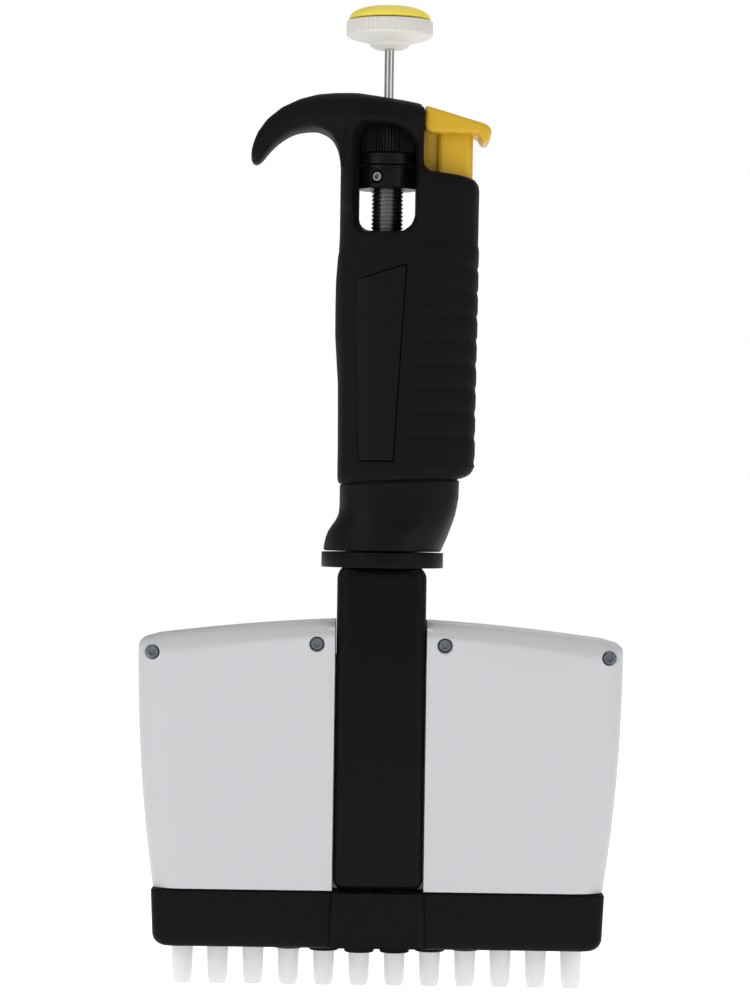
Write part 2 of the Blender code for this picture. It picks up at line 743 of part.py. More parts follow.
spring_seat = turned(
    "spring_seat", tube(seat_low, seam, BORE_R - GAP, ROD_R + GAP), "steel")
work(spring_seat, block(
    "seat_notch",
    (BORE_R - 2.2 * MM, -way, seat_low - PAST),
    (BORE_R + 2.0 * MM, way, seam + PAST),
    None))


# ---------------------------------------------------------------- handle

def shoulder_line(x):
    """The grip's top falls away from the post to the ejector's side."""
    return shoulder - SHOULDER_SLOPE * (x - POST_RIGHT)


def grip_ring(up, left, right, corner=HANDLE_CORNER):
    """A section of the grip at a share of its height."""
    return rounded(GRIP_LEFT + left * MM, GRIP_RIGHT + right * MM, HANDLE_HALF_DEPTH, corner,
                   level(seam + GRIP_HEIGHT * up))


grip_rings = [
    rounded(GRIP_LEFT + 0.5 * MM, GRIP_RIGHT - 3.6 * MM, HANDLE_HALF_DEPTH - 0.5 * MM, HANDLE_CORNER,
            seam_line),
    rounded(GRIP_LEFT + 0.4 * MM, GRIP_RIGHT - 0.2 * MM, HANDLE_HALF_DEPTH, HANDLE_CORNER,
            lambda x: seam_line(x) + 1.8 * MM),
    grip_ring(0.32, 0.2, -0.2),
    grip_ring(0.46, -0.7, 0.0),
    grip_ring(0.62, -0.7, 0.1),
    grip_ring(0.76, 0.0, 0.2),
    grip_ring(0.92, 0.0, 0.2),
    rounded(GRIP_LEFT, GRIP_RIGHT + 0.2 * MM, HANDLE_HALF_DEPTH, HANDLE_CORNER,
            lambda x: shoulder_line(x) - 1.6 * MM),
    rounded(GRIP_LEFT + 1.2 * MM, GRIP_RIGHT - 1.2 * MM, HANDLE_HALF_DEPTH - 1.2 * MM, HANDLE_CORNER,
            shoulder_line),
]
handle = loft("handle_shell", grip_rings, "black_plastic")

crown_outline = [
    (GRIP_LEFT, shoulder - 12.0 * MM),
    (POST_RIGHT, shoulder - 12.0 * MM),
    (POST_RIGHT, shoulder + 8.8 * MM),
    (CROWN_RIGHT, shoulder + 11.5 * MM),
    (CROWN_RIGHT, crown_high - 2.6 * MM),
    (0.0, crown_high - 1.0 * MM),
    (-9.0 * MM, crown_high),
    (CROWN_LEFT, crown_high - 0.1 * MM),
    (CROWN_LEFT - 0.8 * MM, shoulder + 8.7 * MM),
    (GRIP_LEFT - 0.9 * MM, shoulder + 6.0 * MM),
]
crown = upright("handle_crown", crown_outline, -CROWN_HALF_DEPTH, CROWN_HALF_DEPTH, None)
soften = crown.modifiers.new("Soften", "BEVEL")
soften.width = 2.0 * MM
soften.segments = 2
soften.limit_method = "ANGLE"
soften.angle_limit = math.radians(50.0)
work(handle, crown, "UNION")


def hook_ring(x, z, thick, wide, lean):
    """An oval section of the hook, square to its run; lean is the run's angle below level."""
    turn = math.radians(lean)
    ring = []
    for i in range(16):
        angle = 2 * math.pi * i / 16
        out = thick * math.copysign(abs(math.sin(angle)) ** 0.8, math.sin(angle))
        side = wide * math.copysign(abs(math.cos(angle)) ** 0.8, math.cos(angle))
        ring.append((x - out * math.sin(turn), side, z + out * math.cos(turn)))
    return ring


hook_run = [
    (0.20, 5.3, 4.4, 8.5, 2),
    (0.40, 5.2, 5.2, 8.5, 4),
    (0.60, 5.4, 4.5, 8.2, 8),
    (0.74, 6.4, 3.8, 7.6, 28),
    (0.86, 9.2, 3.3, 6.8, 47),
    (0.94, 13.0, 2.5, 5.9, 68),
    (0.965, 16.2, 1.8, 5.0, 80),
    (0.962, 18.4, 0.9, 3.4, 88),
]
hook_rings = []
for share, below, thick, wide, lean in hook_run:
    at = (-HOOK_REACH * share, crown_high - below * MM)
    hook_rings.append(hook_ring(at[0], at[1], thick * MM, wide * MM, lean))
work(handle, loft("handle_hook", hook_rings, None), "UNION")

work(handle, turned("mechanism_bore", [
    (0.0, window_low + PAST),
    (SPINDLE_R + GAP, window_low + PAST),
    (SPINDLE_R + GAP, nut_top + GAP),
    (SPINDLE_NUT_R + GAP, nut_top + GAP),
    (SPINDLE_NUT_R + GAP, nut_bottom + SPINDLE_NUT_RIM + GAP),
    (BORE_R, nut_bottom + SPINDLE_NUT_RIM + GAP),
    (BORE_R, ledge_high),
    (LEDGE_R, ledge_high),
    (LEDGE_R, ledge_low),
    (BORE_R, ledge_low),
    (BORE_R, seam - 4.0 * MM),
    (0.0, seam - 4.0 * MM),
], None, steps=32))

half = WINDOW_HALF
window = upright("window_cut", [
    (-half, window_low + 2.4 * MM),
    (-half + 0.8 * MM, window_low + 0.6 * MM),
    (-half + 2.6 * MM, window_low),
    (half - 3.0 * MM, window_low),
    (half - 0.8 * MM, window_low + 1.7 * MM),
    (half, window_low + 4.2 * MM),
    (half, window_high - 7.0 * MM),
    (half - 0.6 * MM, window_high - 4.6 * MM),
    (half - 2.6 * MM, window_high - 2.0 * MM),
    (0.0, window_high - 0.3 * MM),
    (-half + 2.6 * MM, window_high),
    (-half + 0.5 * MM, window_high - 1.2 * MM),
    (-half, window_high - 3.2 * MM),
], -20.0 * MM, 20.0 * MM, None)
work(handle, window)
knob_space = rod(window_low, knob_high + GAP, KNOB_SPACE_R)
work(handle, turned("knob_space", knob_space, None, steps=32))
rod_way = rod(window_high - 2.0 * MM, crown_high + 2.0 * MM, ROD_R + GAP)
work(handle, turned("rod_hole", rod_way, None, steps=16))

stem_mid = (STEM_LEFT + STEM_RIGHT) / 2
stem_half = (STEM_RIGHT - STEM_LEFT) / 2
work(handle, block(
    "stem_bore",
    (STEM_LEFT - GAP, -STEM_HALF_DEPTH - GAP, spring_floor),
    (STEM_RIGHT + GAP, STEM_HALF_DEPTH + GAP, shoulder + FAR_PAST),
    None, 2.0 * MM, True))
web_half = 3.0 * MM
work(handle, block(
    "web_slot",
    (POST_RIGHT, -web_half - GAP, shoulder - EJECT - 4.0 * MM),
    (STEM_LEFT + 1.0 * MM, web_half + GAP, shoulder + FAR_PAST),
    None))
work(handle, block(
    "cap_pocket",
    (CAP_LEFT - GAP, -CAP_HALF_DEPTH - GAP, cap_low - EJECT - ROUGH_GAP),
    (POST_RIGHT + 8.0 * MM, CAP_HALF_DEPTH + GAP, crown_high + PAST),
    None))
work(handle, block(
    "rod_way",
    (BORE_R - PAST, -way, seam - PAST),
    (EJECTOR_ROD_X + EJECTOR_ROD_R + ROUGH_GAP, way, spring_floor + PAST),
    None))

lens_low = ring_low[2] - ROUGH_GAP
lens_high = ring_low[0] + RING + ROUGH_GAP
lens_seat = HANDLE_HALF_DEPTH - LENS - 2 * GAP
work(handle, block(
    "lens_opening",
    (-LENS_HALF_WIDTH + LENS_RIM, BORE_R - 3.0 * MM, lens_low),
    (LENS_HALF_WIDTH - LENS_RIM, HANDLE_HALF_DEPTH + 2.0 * MM, lens_high),
    None))
work(handle, block(
    "lens_pocket",
    (-LENS_HALF_WIDTH - GAP, lens_seat, lens_low - LENS_RIM - GAP),
    (LENS_HALF_WIDTH + GAP, HANDLE_HALF_DEPTH + 2.0 * MM, lens_high + LENS_RIM + GAP),
    None))
counter_lens = block(
    "counter_lens",
    (-LENS_HALF_WIDTH, lens_seat + GAP, lens_low - LENS_RIM),
    (LENS_HALF_WIDTH, lens_seat + GAP + LENS, lens_high + LENS_RIM),
    "clear_plastic", 0.3 * MM)
smooth(handle, 30.0)


# ---------------------------------------------------------------- volume dial and counter

spindle_nut = turned("spindle_nut", [
    (SPINDLE_NUT_R, nut_top),
    (SPINDLE_NUT_R, nut_bottom + SPINDLE_NUT_RIM),
    (SPINDLE_NUT_RIM_R, nut_bottom + SPINDLE_NUT_RIM),
    (SPINDLE_NUT_RIM_R, nut_bottom),
    (SPINDLE_R + GAP, nut_bottom),
    (SPINDLE_R + GAP, nut_top),
], "brass")

rod_bore = ROD_R + GAP
spindle_high = knob_high - 4.0 * MM
spindle = turned(
    "threaded_spindle", tube(spindle_low, spindle_high, SPINDLE_R, rod_bore), "dark_steel")

knob = turned("volume_knob", [
    (KNOB_R - 0.6 * MM, knob_high),
    (KNOB_R, knob_high - 0.6 * MM),
    (KNOB_R, knob_low + KNOB_BAND),
    (KNOB_BAND_R, knob_low + KNOB_BAND),
    (KNOB_BAND_R, knob_low),
    (SPINDLE_R + GAP, knob_low),
    (SPINDLE_R + GAP, spindle_high + GAP),
    (rod_bore, spindle_high + GAP),
    (rod_bore, knob_high),
], "black_plastic", steps=32)

collar = turned(
    "knob_collar", tube(collar_low, collar_low + COLLAR, KNOB_R, SPINDLE_R + GAP), "black_plastic",
    steps=32)
collar_mid = collar_low + COLLAR / 2
radial = Matrix.Rotation(-SET_SCREW_TURN, 4, "Z") @ Matrix.Rotation(math.pi / 2, 4, "X")


def set_radially(item):
    """Lay a turned piece along the collar's radius, where the set screw goes in."""
    item.matrix_world = Matrix.Translation((0.0, 0.0, collar_mid)) @ radial
    return item


screw_hole = rod(SPINDLE_R - 1.0 * MM, KNOB_R + 2.0 * MM, SET_SCREW_R + GAP)
work(collar, set_radially(turned("set_screw_hole", screw_hole, None, steps=16)))
set_screw = turned("set_screw", [
    (0.0, KNOB_R - 1.4 * MM),
    (SET_SCREW_R / 2, KNOB_R - 1.4 * MM),
    (SET_SCREW_R / 2, KNOB_R - 0.3 * MM),
    (SET_SCREW_R, KNOB_R - 0.3 * MM),
    (SET_SCREW_R, SPINDLE_R + GAP),
    (0.0, SPINDLE_R + GAP),
], "steel", steps=12)
set_radially(set_screw)

units_ring = turned("units_ring", [
    (RING_R, ring_low[0] + RING),
    (RING_R, ring_low[0]),
    (SLEEVE_R, ring_low[0]),
    (SLEEVE_R, sleeve_low),
    (SPINDLE_R + GAP, sleeve_low),
    (SPINDLE_R + GAP, ring_low[0] + RING),
], "digit_plastic")
slow_rings = []
for name, low in zip(("tens_ring", "hundreds_ring"), ring_low[1:]):
    slow_rings.append(turned(name, tube(low, low + RING, RING_R, SLEEVE_R + GAP), "digit_plastic"))


# ---------------------------------------------------------------- plunger

rod_low = push_rod_high + GAP
rod_high = button_high - 3.0 * MM
plunger_rod = turned("plunger_rod", [
    (0.0, rod_high),
    (ROD_R, rod_high),
    (ROD_R, disc_high),
    (DISC_R, disc_high),
    (DISC_R, disc_low),
    (ROD_R, disc_low),
    (ROD_R, rod_low),
    (0.0, rod_low),
], "steel")

spigot_r = BUTTON_R - 2.8 * MM
button = turned("plunger_button", [
    (BUTTON_R - 0.5 * MM, button_high),
    (BUTTON_R, button_high - 0.5 * MM),
    (BUTTON_R, button_low + 3.6 * MM),
    (BUTTON_R - 0.7 * MM, button_low + 2.9 * MM),
    (BUTTON_HUB_R, button_low + 1.3 * MM),
    (BUTTON_HUB_R - 1.5 * MM, button_low),
    (ROD_R + GAP, button_low),
    (ROD_R + GAP, rod_high + GAP),
    (spigot_r, rod_high + GAP),
    (spigot_r, button_high),
], "button_plastic", steps=28)
insert_low = button_high + GAP
insert = turned("button_insert", [
    (0.0, insert_low + INSERT_DOME),
    (INSERT_R * 0.38, insert_low + INSERT_DOME * 0.92),
    (INSERT_R * 0.70, insert_low + INSERT_DOME * 0.70),
    (INSERT_R * 0.92, insert_low + INSERT_DOME * 0.36),
    (INSERT_R, insert_low + INSERT_DOME * 0.06),
    (INSERT_R, insert_low),
    (spigot_r - GAP, insert_low),
    (spigot_r - GAP, rod_high + 2 * GAP),
    (0.0, rod_high + 2 * GAP),
], "yellow_plastic", steps=28)

stop_ring = turned("stop_ring", tube(stop_low, stop_high, STOP_RING_R, STOP_RING_BORE_R), "steel")
spring_low = seam + GAP
plunger_spring = coil("plunger_spring", spring_low, disc_low - GAP, 4.4 * MM, 0.4 * MM, 6, "steel")
blowout_spring = coil("blowout_spring", spring_low, stop_low - GAP, 8.2 * MM, 0.6 * MM, 3, "steel")


# ---------------------------------------------------------------- tip ejector button

cap_outline = [
    (CAP_LEFT, cap_high),
    (CAP_LEFT, cap_low + 2.5 * MM),
    (CAP_LEFT + 1.9 * MM, cap_low),
    (CAP_RIGHT - 2.9 * MM, cap_low),
    (CAP_RIGHT - 2.6 * MM, cap_low - 2.6 * MM),
    (CAP_RIGHT - 1.0 * MM, cap_low - 2.4 * MM),
    (CAP_RIGHT, cap_low + 0.2 * MM),
    (CAP_RIGHT - 0.6 * MM, cap_low + 1.8 * MM),
    (CAP_RIGHT - 2.3 * MM, cap_low + 2.7 * MM),
]
ejector_button = upright(
    "ejector_button", cap_outline, -CAP_HALF_DEPTH, CAP_HALF_DEPTH, "amber_plastic")
work(ejector_button, block(
    "button_stem",
    (STEM_LEFT, -STEM_HALF_DEPTH, stem_low),
    (STEM_RIGHT, STEM_HALF_DEPTH, cap_low + 1.0 * MM),
    None, 2.0 * MM, True), "UNION")
work(ejector_button, block(
    "button_web",
    (POST_RIGHT + GAP, -web_half, shoulder - 3.0 * MM),
    (STEM_LEFT + 1.0 * MM, web_half, cap_low + 1.0 * MM),
    None), "UNION")
smooth(ejector_button)


def bent_rod(name, points, radius, look):
    """A rod of round wire through a few points."""
    curve = bpy.data.curves.new(name, "CURVE")
    curve.dimensions = "3D"
    curve.bevel_depth = radius
    curve.bevel_resolution = 3
    curve.use_fill_caps = True
    spline = curve.splines.new("POLY")
    spline.points.add(len(points) - 1)
    for point, (x, z) in zip(spline.points, points):
        point.co = (x, 0.0, z, 1.0)
    return place(name, curve, look)


bend = 11.0 * MM
bend_low = seam + EJECT + 3.0 * MM
ejector_rod = bent_rod("ejector_rod", [
    (EJECTOR_ROD_X, stem_low - GAP),
    (EJECTOR_ROD_X, bend_low + bend + 1.0 * MM),
    (EJECTOR_ROD_X - 0.5 * MM, bend_low + bend - 1.0 * MM),
    (EJECTOR_FOOT_X + 0.5 * MM, bend_low + 1.0 * MM),
    (EJECTOR_FOOT_X, bend_low - 1.0 * MM),
    (EJECTOR_FOOT_X, flange_high + GAP),
], EJECTOR_ROD_R, "steel")
ejector_spring = coil(
    "ejector_spring", spring_floor + GAP, stem_low - GAP, 3.2 * MM, 0.4 * MM, 6, "steel",
    x=EJECTOR_ROD_X)


# ---------------------------------------------------------------- what moves with what

carrier("plunger_axis", 0.0, disc_low, [plunger_rod, button, insert])
carrier("stop_ring_axis", 0.0, stop_low, [stop_ring])
carrier("counter_axis", 0.0, sleeve_low, [units_ring])
carrier("dial_axis", 0.0, knob_low, [knob, collar, set_screw, spindle])
carrier("tens_axis", 0.0, ring_low[1], [slow_rings[0]])
carrier("hundreds_axis", 0.0, ring_low[2], [slow_rings[1]])
carrier("ejector_axis", EJECTOR_ROD_X, stem_low, [ejector_button, ejector_rod])
carrier("swivel_axis", 0.0, adaptor_low, [
    front_cover, rear_cover, base_plate, neck_frame, swivel_nut, *guide_rods, *screws, *cones])
carrier("rack_axis", 0.0, crossbar_low, [crossbar, push_rod, *pistons])
carrier("ejector_frame_axis", 0.0, comb_low, [column, comb])
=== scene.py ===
"""Looks of the twelve-channel hand pipette, piece by piece from the camera down to the cones."""
import math

import bpy
from mathutils import Matrix, Vector


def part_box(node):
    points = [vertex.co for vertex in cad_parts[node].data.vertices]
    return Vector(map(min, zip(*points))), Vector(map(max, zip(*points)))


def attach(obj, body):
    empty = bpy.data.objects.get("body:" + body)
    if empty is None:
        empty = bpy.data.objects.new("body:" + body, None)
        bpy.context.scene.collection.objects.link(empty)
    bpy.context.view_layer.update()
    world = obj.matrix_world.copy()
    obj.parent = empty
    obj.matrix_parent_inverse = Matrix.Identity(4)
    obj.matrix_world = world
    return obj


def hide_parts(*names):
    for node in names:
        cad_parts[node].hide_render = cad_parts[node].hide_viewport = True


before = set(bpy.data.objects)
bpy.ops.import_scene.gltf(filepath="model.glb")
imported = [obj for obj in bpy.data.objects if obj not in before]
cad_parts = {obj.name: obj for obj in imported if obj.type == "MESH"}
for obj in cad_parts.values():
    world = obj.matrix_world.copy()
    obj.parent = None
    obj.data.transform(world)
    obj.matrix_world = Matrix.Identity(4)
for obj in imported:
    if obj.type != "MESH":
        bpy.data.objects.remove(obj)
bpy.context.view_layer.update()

MM = 0.001

# ------------------------------------------------------------------ camera, light and floor
# The pipette stands on its cones on a pale floor before a white backdrop. Two soft boxes
# above left and right light it, and the dark room behind the camera keeps the black plastic
# black. The camera is level and looks at the middle of the pipette's height.
EYE_HEIGHT = 123.6 * MM
EYE_DISTANCE = 0.9
EYE_SIDE = -2.05 * MM
VIEW_WIDTH = 191.2 * MM

camera_data = bpy.data.cameras.new("camera")
camera_data.sensor_fit = "HORIZONTAL"
camera_data.sensor_width = 36.0
camera_data.lens = 36.0 * EYE_DISTANCE / VIEW_WIDTH
camera_data.clip_start = 0.01
camera = bpy.data.objects.new("camera", camera_data)
bpy.context.scene.collection.objects.link(camera)
roll = Matrix.Rotation(math.radians(0.83), 4, "Z")
level_view = Matrix.Rotation(math.radians(90.0), 4, "X")
camera.matrix_world = Matrix.Translation((EYE_SIDE, -EYE_DISTANCE, EYE_HEIGHT)) @ level_view @ roll
bpy.context.scene.camera = camera
bpy.context.scene.view_settings.view_transform = "Standard"


def soft_box(name, place, aim, width, height, power):
    """A rectangular lamp at a place, turned towards a point."""
    data = bpy.data.lights.new(name, "AREA")
    data.shape = "RECTANGLE"
    data.size = width
    data.size_y = height
    data.energy = power
    lamp = bpy.data.objects.new(name, data)
    bpy.context.scene.collection.objects.link(lamp)
    lamp.location = place
    lamp.rotation_euler = (Vector(aim) - Vector(place)).to_track_quat("-Z", "Y").to_euler()


soft_box("key_light", (-0.75, -0.75, 0.75), (0.0, 0.0, 0.12), 0.6, 0.9, 3.4)
soft_box("fill_light", (0.85, -0.7, 0.55), (0.0, 0.0, 0.12), 0.6, 0.9, 2.2)
soft_box("top_light", (0.0, 0.1, 1.1), (0.0, 0.0, 0.1), 0.8, 0.6, 1.6)
soft_box("back_light", (0.3, 1.0, 0.7), (0.0, 0.0, 0.12), 0.9, 0.9, 2.0)


def seen_white(nodes, links, lit):
    """Ray masks: one for camera, glossy and transmission rays, and one for camera and transmission rays alone. The
    given colour is not used.
    """
    path = nodes.new("ShaderNodeLightPath")
    either = nodes.new("ShaderNodeMath")
    either.operation = "MAXIMUM"
    both = nodes.new("ShaderNodeMath")
    both.operation = "MAXIMUM"
    links.new(path.outputs["Is Camera Ray"], either.inputs[0])
    links.new(path.outputs["Is Transmission Ray"], either.inputs[1])
    links.new(either.outputs[0], both.inputs[0])
    links.new(path.outputs["Is Glossy Ray"], both.inputs[1])
    return both.outputs[0], either.outputs[0]


world = bpy.data.worlds.new("studio")
bpy.context.scene.world = world
world.use_nodes = True
nodes = world.node_tree.nodes
links = world.node_tree.links
nodes.clear()
dim = nodes.new("ShaderNodeBackground")
dim.inputs["Color"].default_value = (1.0, 1.0, 1.0, 1.0)
dim.inputs["Strength"].default_value = 0.30
seen = nodes.new("ShaderNodeBackground")
seen.inputs["Color"].default_value = (1.0, 1.0, 1.0, 1.0)
seen.inputs["Strength"].default_value = 1.0
pick = nodes.new("ShaderNodeMixShader")
result = nodes.new("ShaderNodeOutputWorld")
every_ray, straight_ray = seen_white(nodes, links, dim)
links.new(straight_ray, pick.inputs[0])
links.new(dim.outputs[0], pick.inputs[1])
links.new(seen.outputs[0], pick.inputs[2])
links.new(pick.outputs[0], result.inputs["Surface"])

bpy.ops.object.select_all(action="DESELECT")
bpy.ops.mesh.primitive_plane_add(size=8.0, location=(0.0, 0.0, -0.4 * MM))
floor = bpy.context.object
floor.name = "floor"
floor_paint = bpy.data.materials.new("pale_floor")
floor_paint.use_nodes = True
nodes = floor_paint.node_tree.nodes
links = floor_paint.node_tree.links
paint = nodes["Principled BSDF"]
paint.inputs["Base Color"].default_value = (0.9, 0.9, 0.9, 1.0)
paint.inputs["Roughness"].default_value = 0.9
glow = nodes.new("ShaderNodeEmission")
glow.inputs["Color"].default_value = (1.0, 1.0, 1.0, 1.0)
glow.inputs["Strength"].default_value = 0.75
sum_up = nodes.new("ShaderNodeAddShader")
links.new(paint.outputs[0], sum_up.inputs[0])
links.new(glow.outputs[0], sum_up.inputs[1])
links.new(sum_up.outputs[0], nodes["Material Output"].inputs["Surface"])
floor.data.materials.append(floor_paint)


# ------------------------------------------------------------------ handle
# The handle is one black moulding, hollow for the works: a palm grip with ribbed pads on the
# ejector's side, two posts around the dial's window, and a crown that runs out into the finger
# hook. It is moulded in a filled, slightly rough plastic with a matt grain.


def apply_all(item):
    """Apply a piece's modifiers in order."""
    bpy.ops.object.select_all(action="DESELECT")
    item.select_set(True)
    bpy.context.view_layer.objects.active = item
    for step in list(item.modifiers):
        bpy.ops.object.modifier_apply(modifier=step.name)


def lofted(name, rings, joined=False):
    """A closed body through rings of points: a grid laid along them, its seam merged and its ends capped."""
    rows = list(rings)
    if joined:
        rows.append(rings[0])
    count = len(rings[0])
    bpy.ops.object.select_all(action="DESELECT")
    bpy.ops.mesh.primitive_grid_add(x_subdivisions=count, y_subdivisions=len(rows) - 1)
    item = bpy.context.object
    item.name = name
    item.data.name = name
    flat = [value for row in rows for point in (*row, row[0]) for value in point]
    item.data.vertices.foreach_set("co", flat)
    item.data.update()
    bpy.ops.object.mode_set(mode="EDIT")
    bpy.ops.mesh.select_all(action="SELECT")
    bpy.ops.mesh.remove_doubles(threshold=0.0000005)
    if not joined:
        bpy.ops.mesh.select_all(action="DESELECT")
        bpy.ops.mesh.select_non_manifold()
        bpy.ops.mesh.fill_holes(sides=0)
    bpy.ops.mesh.select_all(action="SELECT")
    bpy.ops.mesh.normals_make_consistent(inside=False)
    bpy.ops.object.mode_set(mode="OBJECT")
    return item


def turned(name, profile, steps=64, x=0.0, y=0.0, joined=False):
    """A turned body from (radius, height) points, in metres."""
    rings = []
    for radius, height in profile:
        ring = []
        for i in range(steps):
            turn = 2 * math.pi * i / steps
            ring.append((x + radius * math.cos(turn), y + radius * math.sin(turn), height))
        rings.append(ring)
    return lofted(name, rings, joined)


def boxed(name, low, high, edge=0.0, upright_only=False):
    """A block between two corners, its edges rounded if asked."""
    low = Vector(low)
    high = Vector(high)
    bpy.ops.object.select_all(action="DESELECT")
    bpy.ops.mesh.primitive_cube_add(size=1.0, location=(low + high) / 2)
    item = bpy.context.object
    item.name = name
    item.scale = high - low
    bpy.ops.object.transform_apply(location=True, rotation=True, scale=True)
    if edge:
        bpy.ops.object.mode_set(mode="EDIT")
        bpy.ops.mesh.select_all(action="DESELECT")
        bpy.ops.object.mode_set(mode="OBJECT")
        for side in item.data.edges:
            ends = [item.data.vertices[k].co for k in side.vertices]
            side.select = not upright_only or abs(ends[0].z - ends[1].z) > (high.z - low.z) / 2
        bpy.ops.object.mode_set(mode="EDIT")
        bpy.ops.mesh.select_mode(type="EDGE")
        bpy.ops.mesh.bevel(offset=edge, segments=6, affect="EDGES")
        bpy.ops.mesh.select_mode(type="VERT")
        bpy.ops.object.mode_set(mode="OBJECT")
    return item


def upright(name, outline, front, back):
    """An (x, z) outline, in millimetres, standing between two depths."""
    rings = [[(x * MM, depth, z * MM) for x, z in outline] for depth in (front, back)]
    return lofted(name, rings)


def shape_with(item, tool, how="DIFFERENCE"):
    """Cut a piece with a tool, or join it on, and take the tool away."""
    step = item.modifiers.new("shape", "BOOLEAN")
    step.operation = how
    step.object = tool
    step.solver = "EXACT"
    apply_all(item)
    bpy.data.objects.remove(tool, do_unlink=True)


def round_edges(item, width, angle=35.0, segments=3):
    """Round every real edge of a piece a little, as a mould does."""
    step = item.modifiers.new("round", "BEVEL")
    step.width = width
    step.segments = segments
    step.limit_method = "ANGLE"
    step.angle_limit = math.radians(angle)
    apply_all(item)


def done(item, body, material, slot, *nodes_replaced, angle=35.0):
    """Shade and paint a finished piece, hang it on its body, and hide the nodes it replaces."""
    bpy.ops.object.select_all(action="DESELECT")
    item.select_set(True)
    bpy.context.view_layer.objects.active = item
    bpy.ops.object.transform_apply(location=True, rotation=True, scale=True)
    bpy.ops.object.shade_smooth_by_angle(angle=math.radians(angle))
    item.data.materials.clear()
    item.data.materials.append(material)
    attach(item, body)
    if nodes_replaced:
        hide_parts(*nodes_replaced)
    return item


def moulded_group():
    """Moulded plastic: cloudy tone, fine grain, and a polish that varies with both."""
    group = bpy.data.node_groups.new("moulded_surface", "ShaderNodeTree")
    socket = group.interface.new_socket
    socket("Colour", in_out="INPUT", socket_type="NodeSocketColor")
    for name in ("Tone change", "Grain scale", "Grain depth", "Roughness", "Polish change"):
        socket(name, in_out="INPUT", socket_type="NodeSocketFloat")
    socket("Colour", in_out="OUTPUT", socket_type="NodeSocketColor")
    socket("Roughness", in_out="OUTPUT", socket_type="NodeSocketFloat")
    socket("Normal", in_out="OUTPUT", socket_type="NodeSocketVector")
    nodes = group.nodes
    links = group.links
    given = nodes.new("NodeGroupInput")
    out = nodes.new("NodeGroupOutput")
    where = nodes.new("ShaderNodeTexCoord")
    cloud = nodes.new("ShaderNodeTexNoise")
    cloud.inputs["Scale"].default_value = 45.0
    cloud.inputs["Detail"].default_value = 4.0
    grain = nodes.new("ShaderNodeTexNoise")
    grain.inputs["Detail"].default_value = 3.0
    links.new(where.outputs["Object"], cloud.inputs["Vector"])
    links.new(where.outputs["Object"], grain.inputs["Vector"])
    links.new(given.outputs["Grain scale"], grain.inputs["Scale"])
    centred = nodes.new("ShaderNodeMath")
    centred.operation = "SUBTRACT"
    centred.inputs[1].default_value = 0.5
    links.new(cloud.outputs["Fac"], centred.inputs[0])
    tone = nodes.new("ShaderNodeMath")
    tone.operation = "MULTIPLY_ADD"
    tone.inputs[2].default_value = 1.0
    links.new(centred.outputs[0], tone.inputs[0])
    links.new(given.outputs["Tone change"], tone.inputs[1])
    tint = nodes.new("ShaderNodeVectorMath")
    tint.operation = "SCALE"
    links.new(given.outputs["Colour"], tint.inputs[0])
    links.new(tone.outputs[0], tint.inputs["Scale"])
    links.new(tint.outputs["Vector"], out.inputs["Colour"])
    polish = nodes.new("ShaderNodeMath")
    polish.operation = "MULTIPLY_ADD"
    links.new(centred.outputs[0], polish.inputs[0])
    links.new(given.outputs["Polish change"], polish.inputs[1])
    links.new(given.outputs["Roughness"], polish.inputs[2])
    links.new(polish.outputs[0], out.inputs["Roughness"])
    bump = nodes.new("ShaderNodeBump")
    bump.inputs["Distance"].default_value = 0.0001
    links.new(given.outputs["Grain depth"], bump.inputs["Strength"])
    links.new(grain.outputs["Fac"], bump.inputs["Height"])
    links.new(bump.outputs["Normal"], out.inputs["Normal"])
    return group


moulded = moulded_group()


def plastic(name, colour, roughness, tone=0.12, grain=2600.0, depth=0.25, polish=0.12, shine=0.5):
    """A moulded plastic in one colour."""
    made = bpy.data.materials.new(name)
    made.use_nodes = True
    nodes = made.node_tree.nodes
    links = made.node_tree.links
    shader = nodes["Principled BSDF"]
    shader.inputs["Specular IOR Level"].default_value = shine
    surface = nodes.new("ShaderNodeGroup")
    surface.node_tree = moulded
    surface.inputs["Colour"].default_value = (*colour, 1.0)
    surface.inputs["Tone change"].default_value = tone
    surface.inputs["Grain scale"].default_value = grain
    surface.inputs["Grain depth"].default_value = depth
    surface.inputs["Roughness"].default_value = roughness
    surface.inputs["Polish change"].default_value = polish
    links.new(surface.outputs["Colour"], shader.inputs["Base Color"])
    links.new(surface.outputs["Roughness"], shader.inputs["Roughness"])
    links.new(surface.outputs["Normal"], shader.inputs["Normal"])
    return made


handle_plastic = plastic("handle_plastic", (0.0036, 0.0040, 0.0039), 0.60, 0.3, 3200.0, 0.5, 0.1, 0.10)

SEAM = 127.6
GRIP_STATIONS = [
    # height, left, right, half depth
    (131.6, -11.6, 22.9, 12.4),
    (137.0, -11.6, 22.9, 12.5),
    (146.0, -11.7, 22.9, 12.5),
    (153.0, -11.8, 23.0, 12.5),
    (160.0, -12.3, 23.0, 12.5),
    (165.0, -12.65, 23.1, 12.5),
    (172.0, -12.7, 23.15, 12.5),
    (179.0, -12.65, 23.2, 12.5),
    (184.0, -12.3, 23.2, 12.5),
    (190.0, -12.0, 23.3, 12.4),
    (198.0, -12.0, 23.35, 12.3),
]


def oval(left, right, half_depth, height, power=3.4, count=96):
    """A soft-cornered section in plan, in millimetres; height is a number or a rule of x."""
    middle = (left + right) / 2
    half = (right - left) / 2
    ring = []
    for i in range(count):
        turn = 2 * math.pi * i / count
        across = math.copysign(abs(math.cos(turn)) ** (2 / power), math.cos(turn))
        along = math.copysign(abs(math.sin(turn)) ** (2 / power), math.sin(turn))
        x = middle + half * across
        z = height(x) if callable(height) else height
        ring.append((x * MM, half_depth * along * MM, z * MM))
    return ring


def seam_height(x):
    """The joint between handle and adaptor rises towards the ejector's side."""
    return SEAM + 0.05 * (x + 11.1)


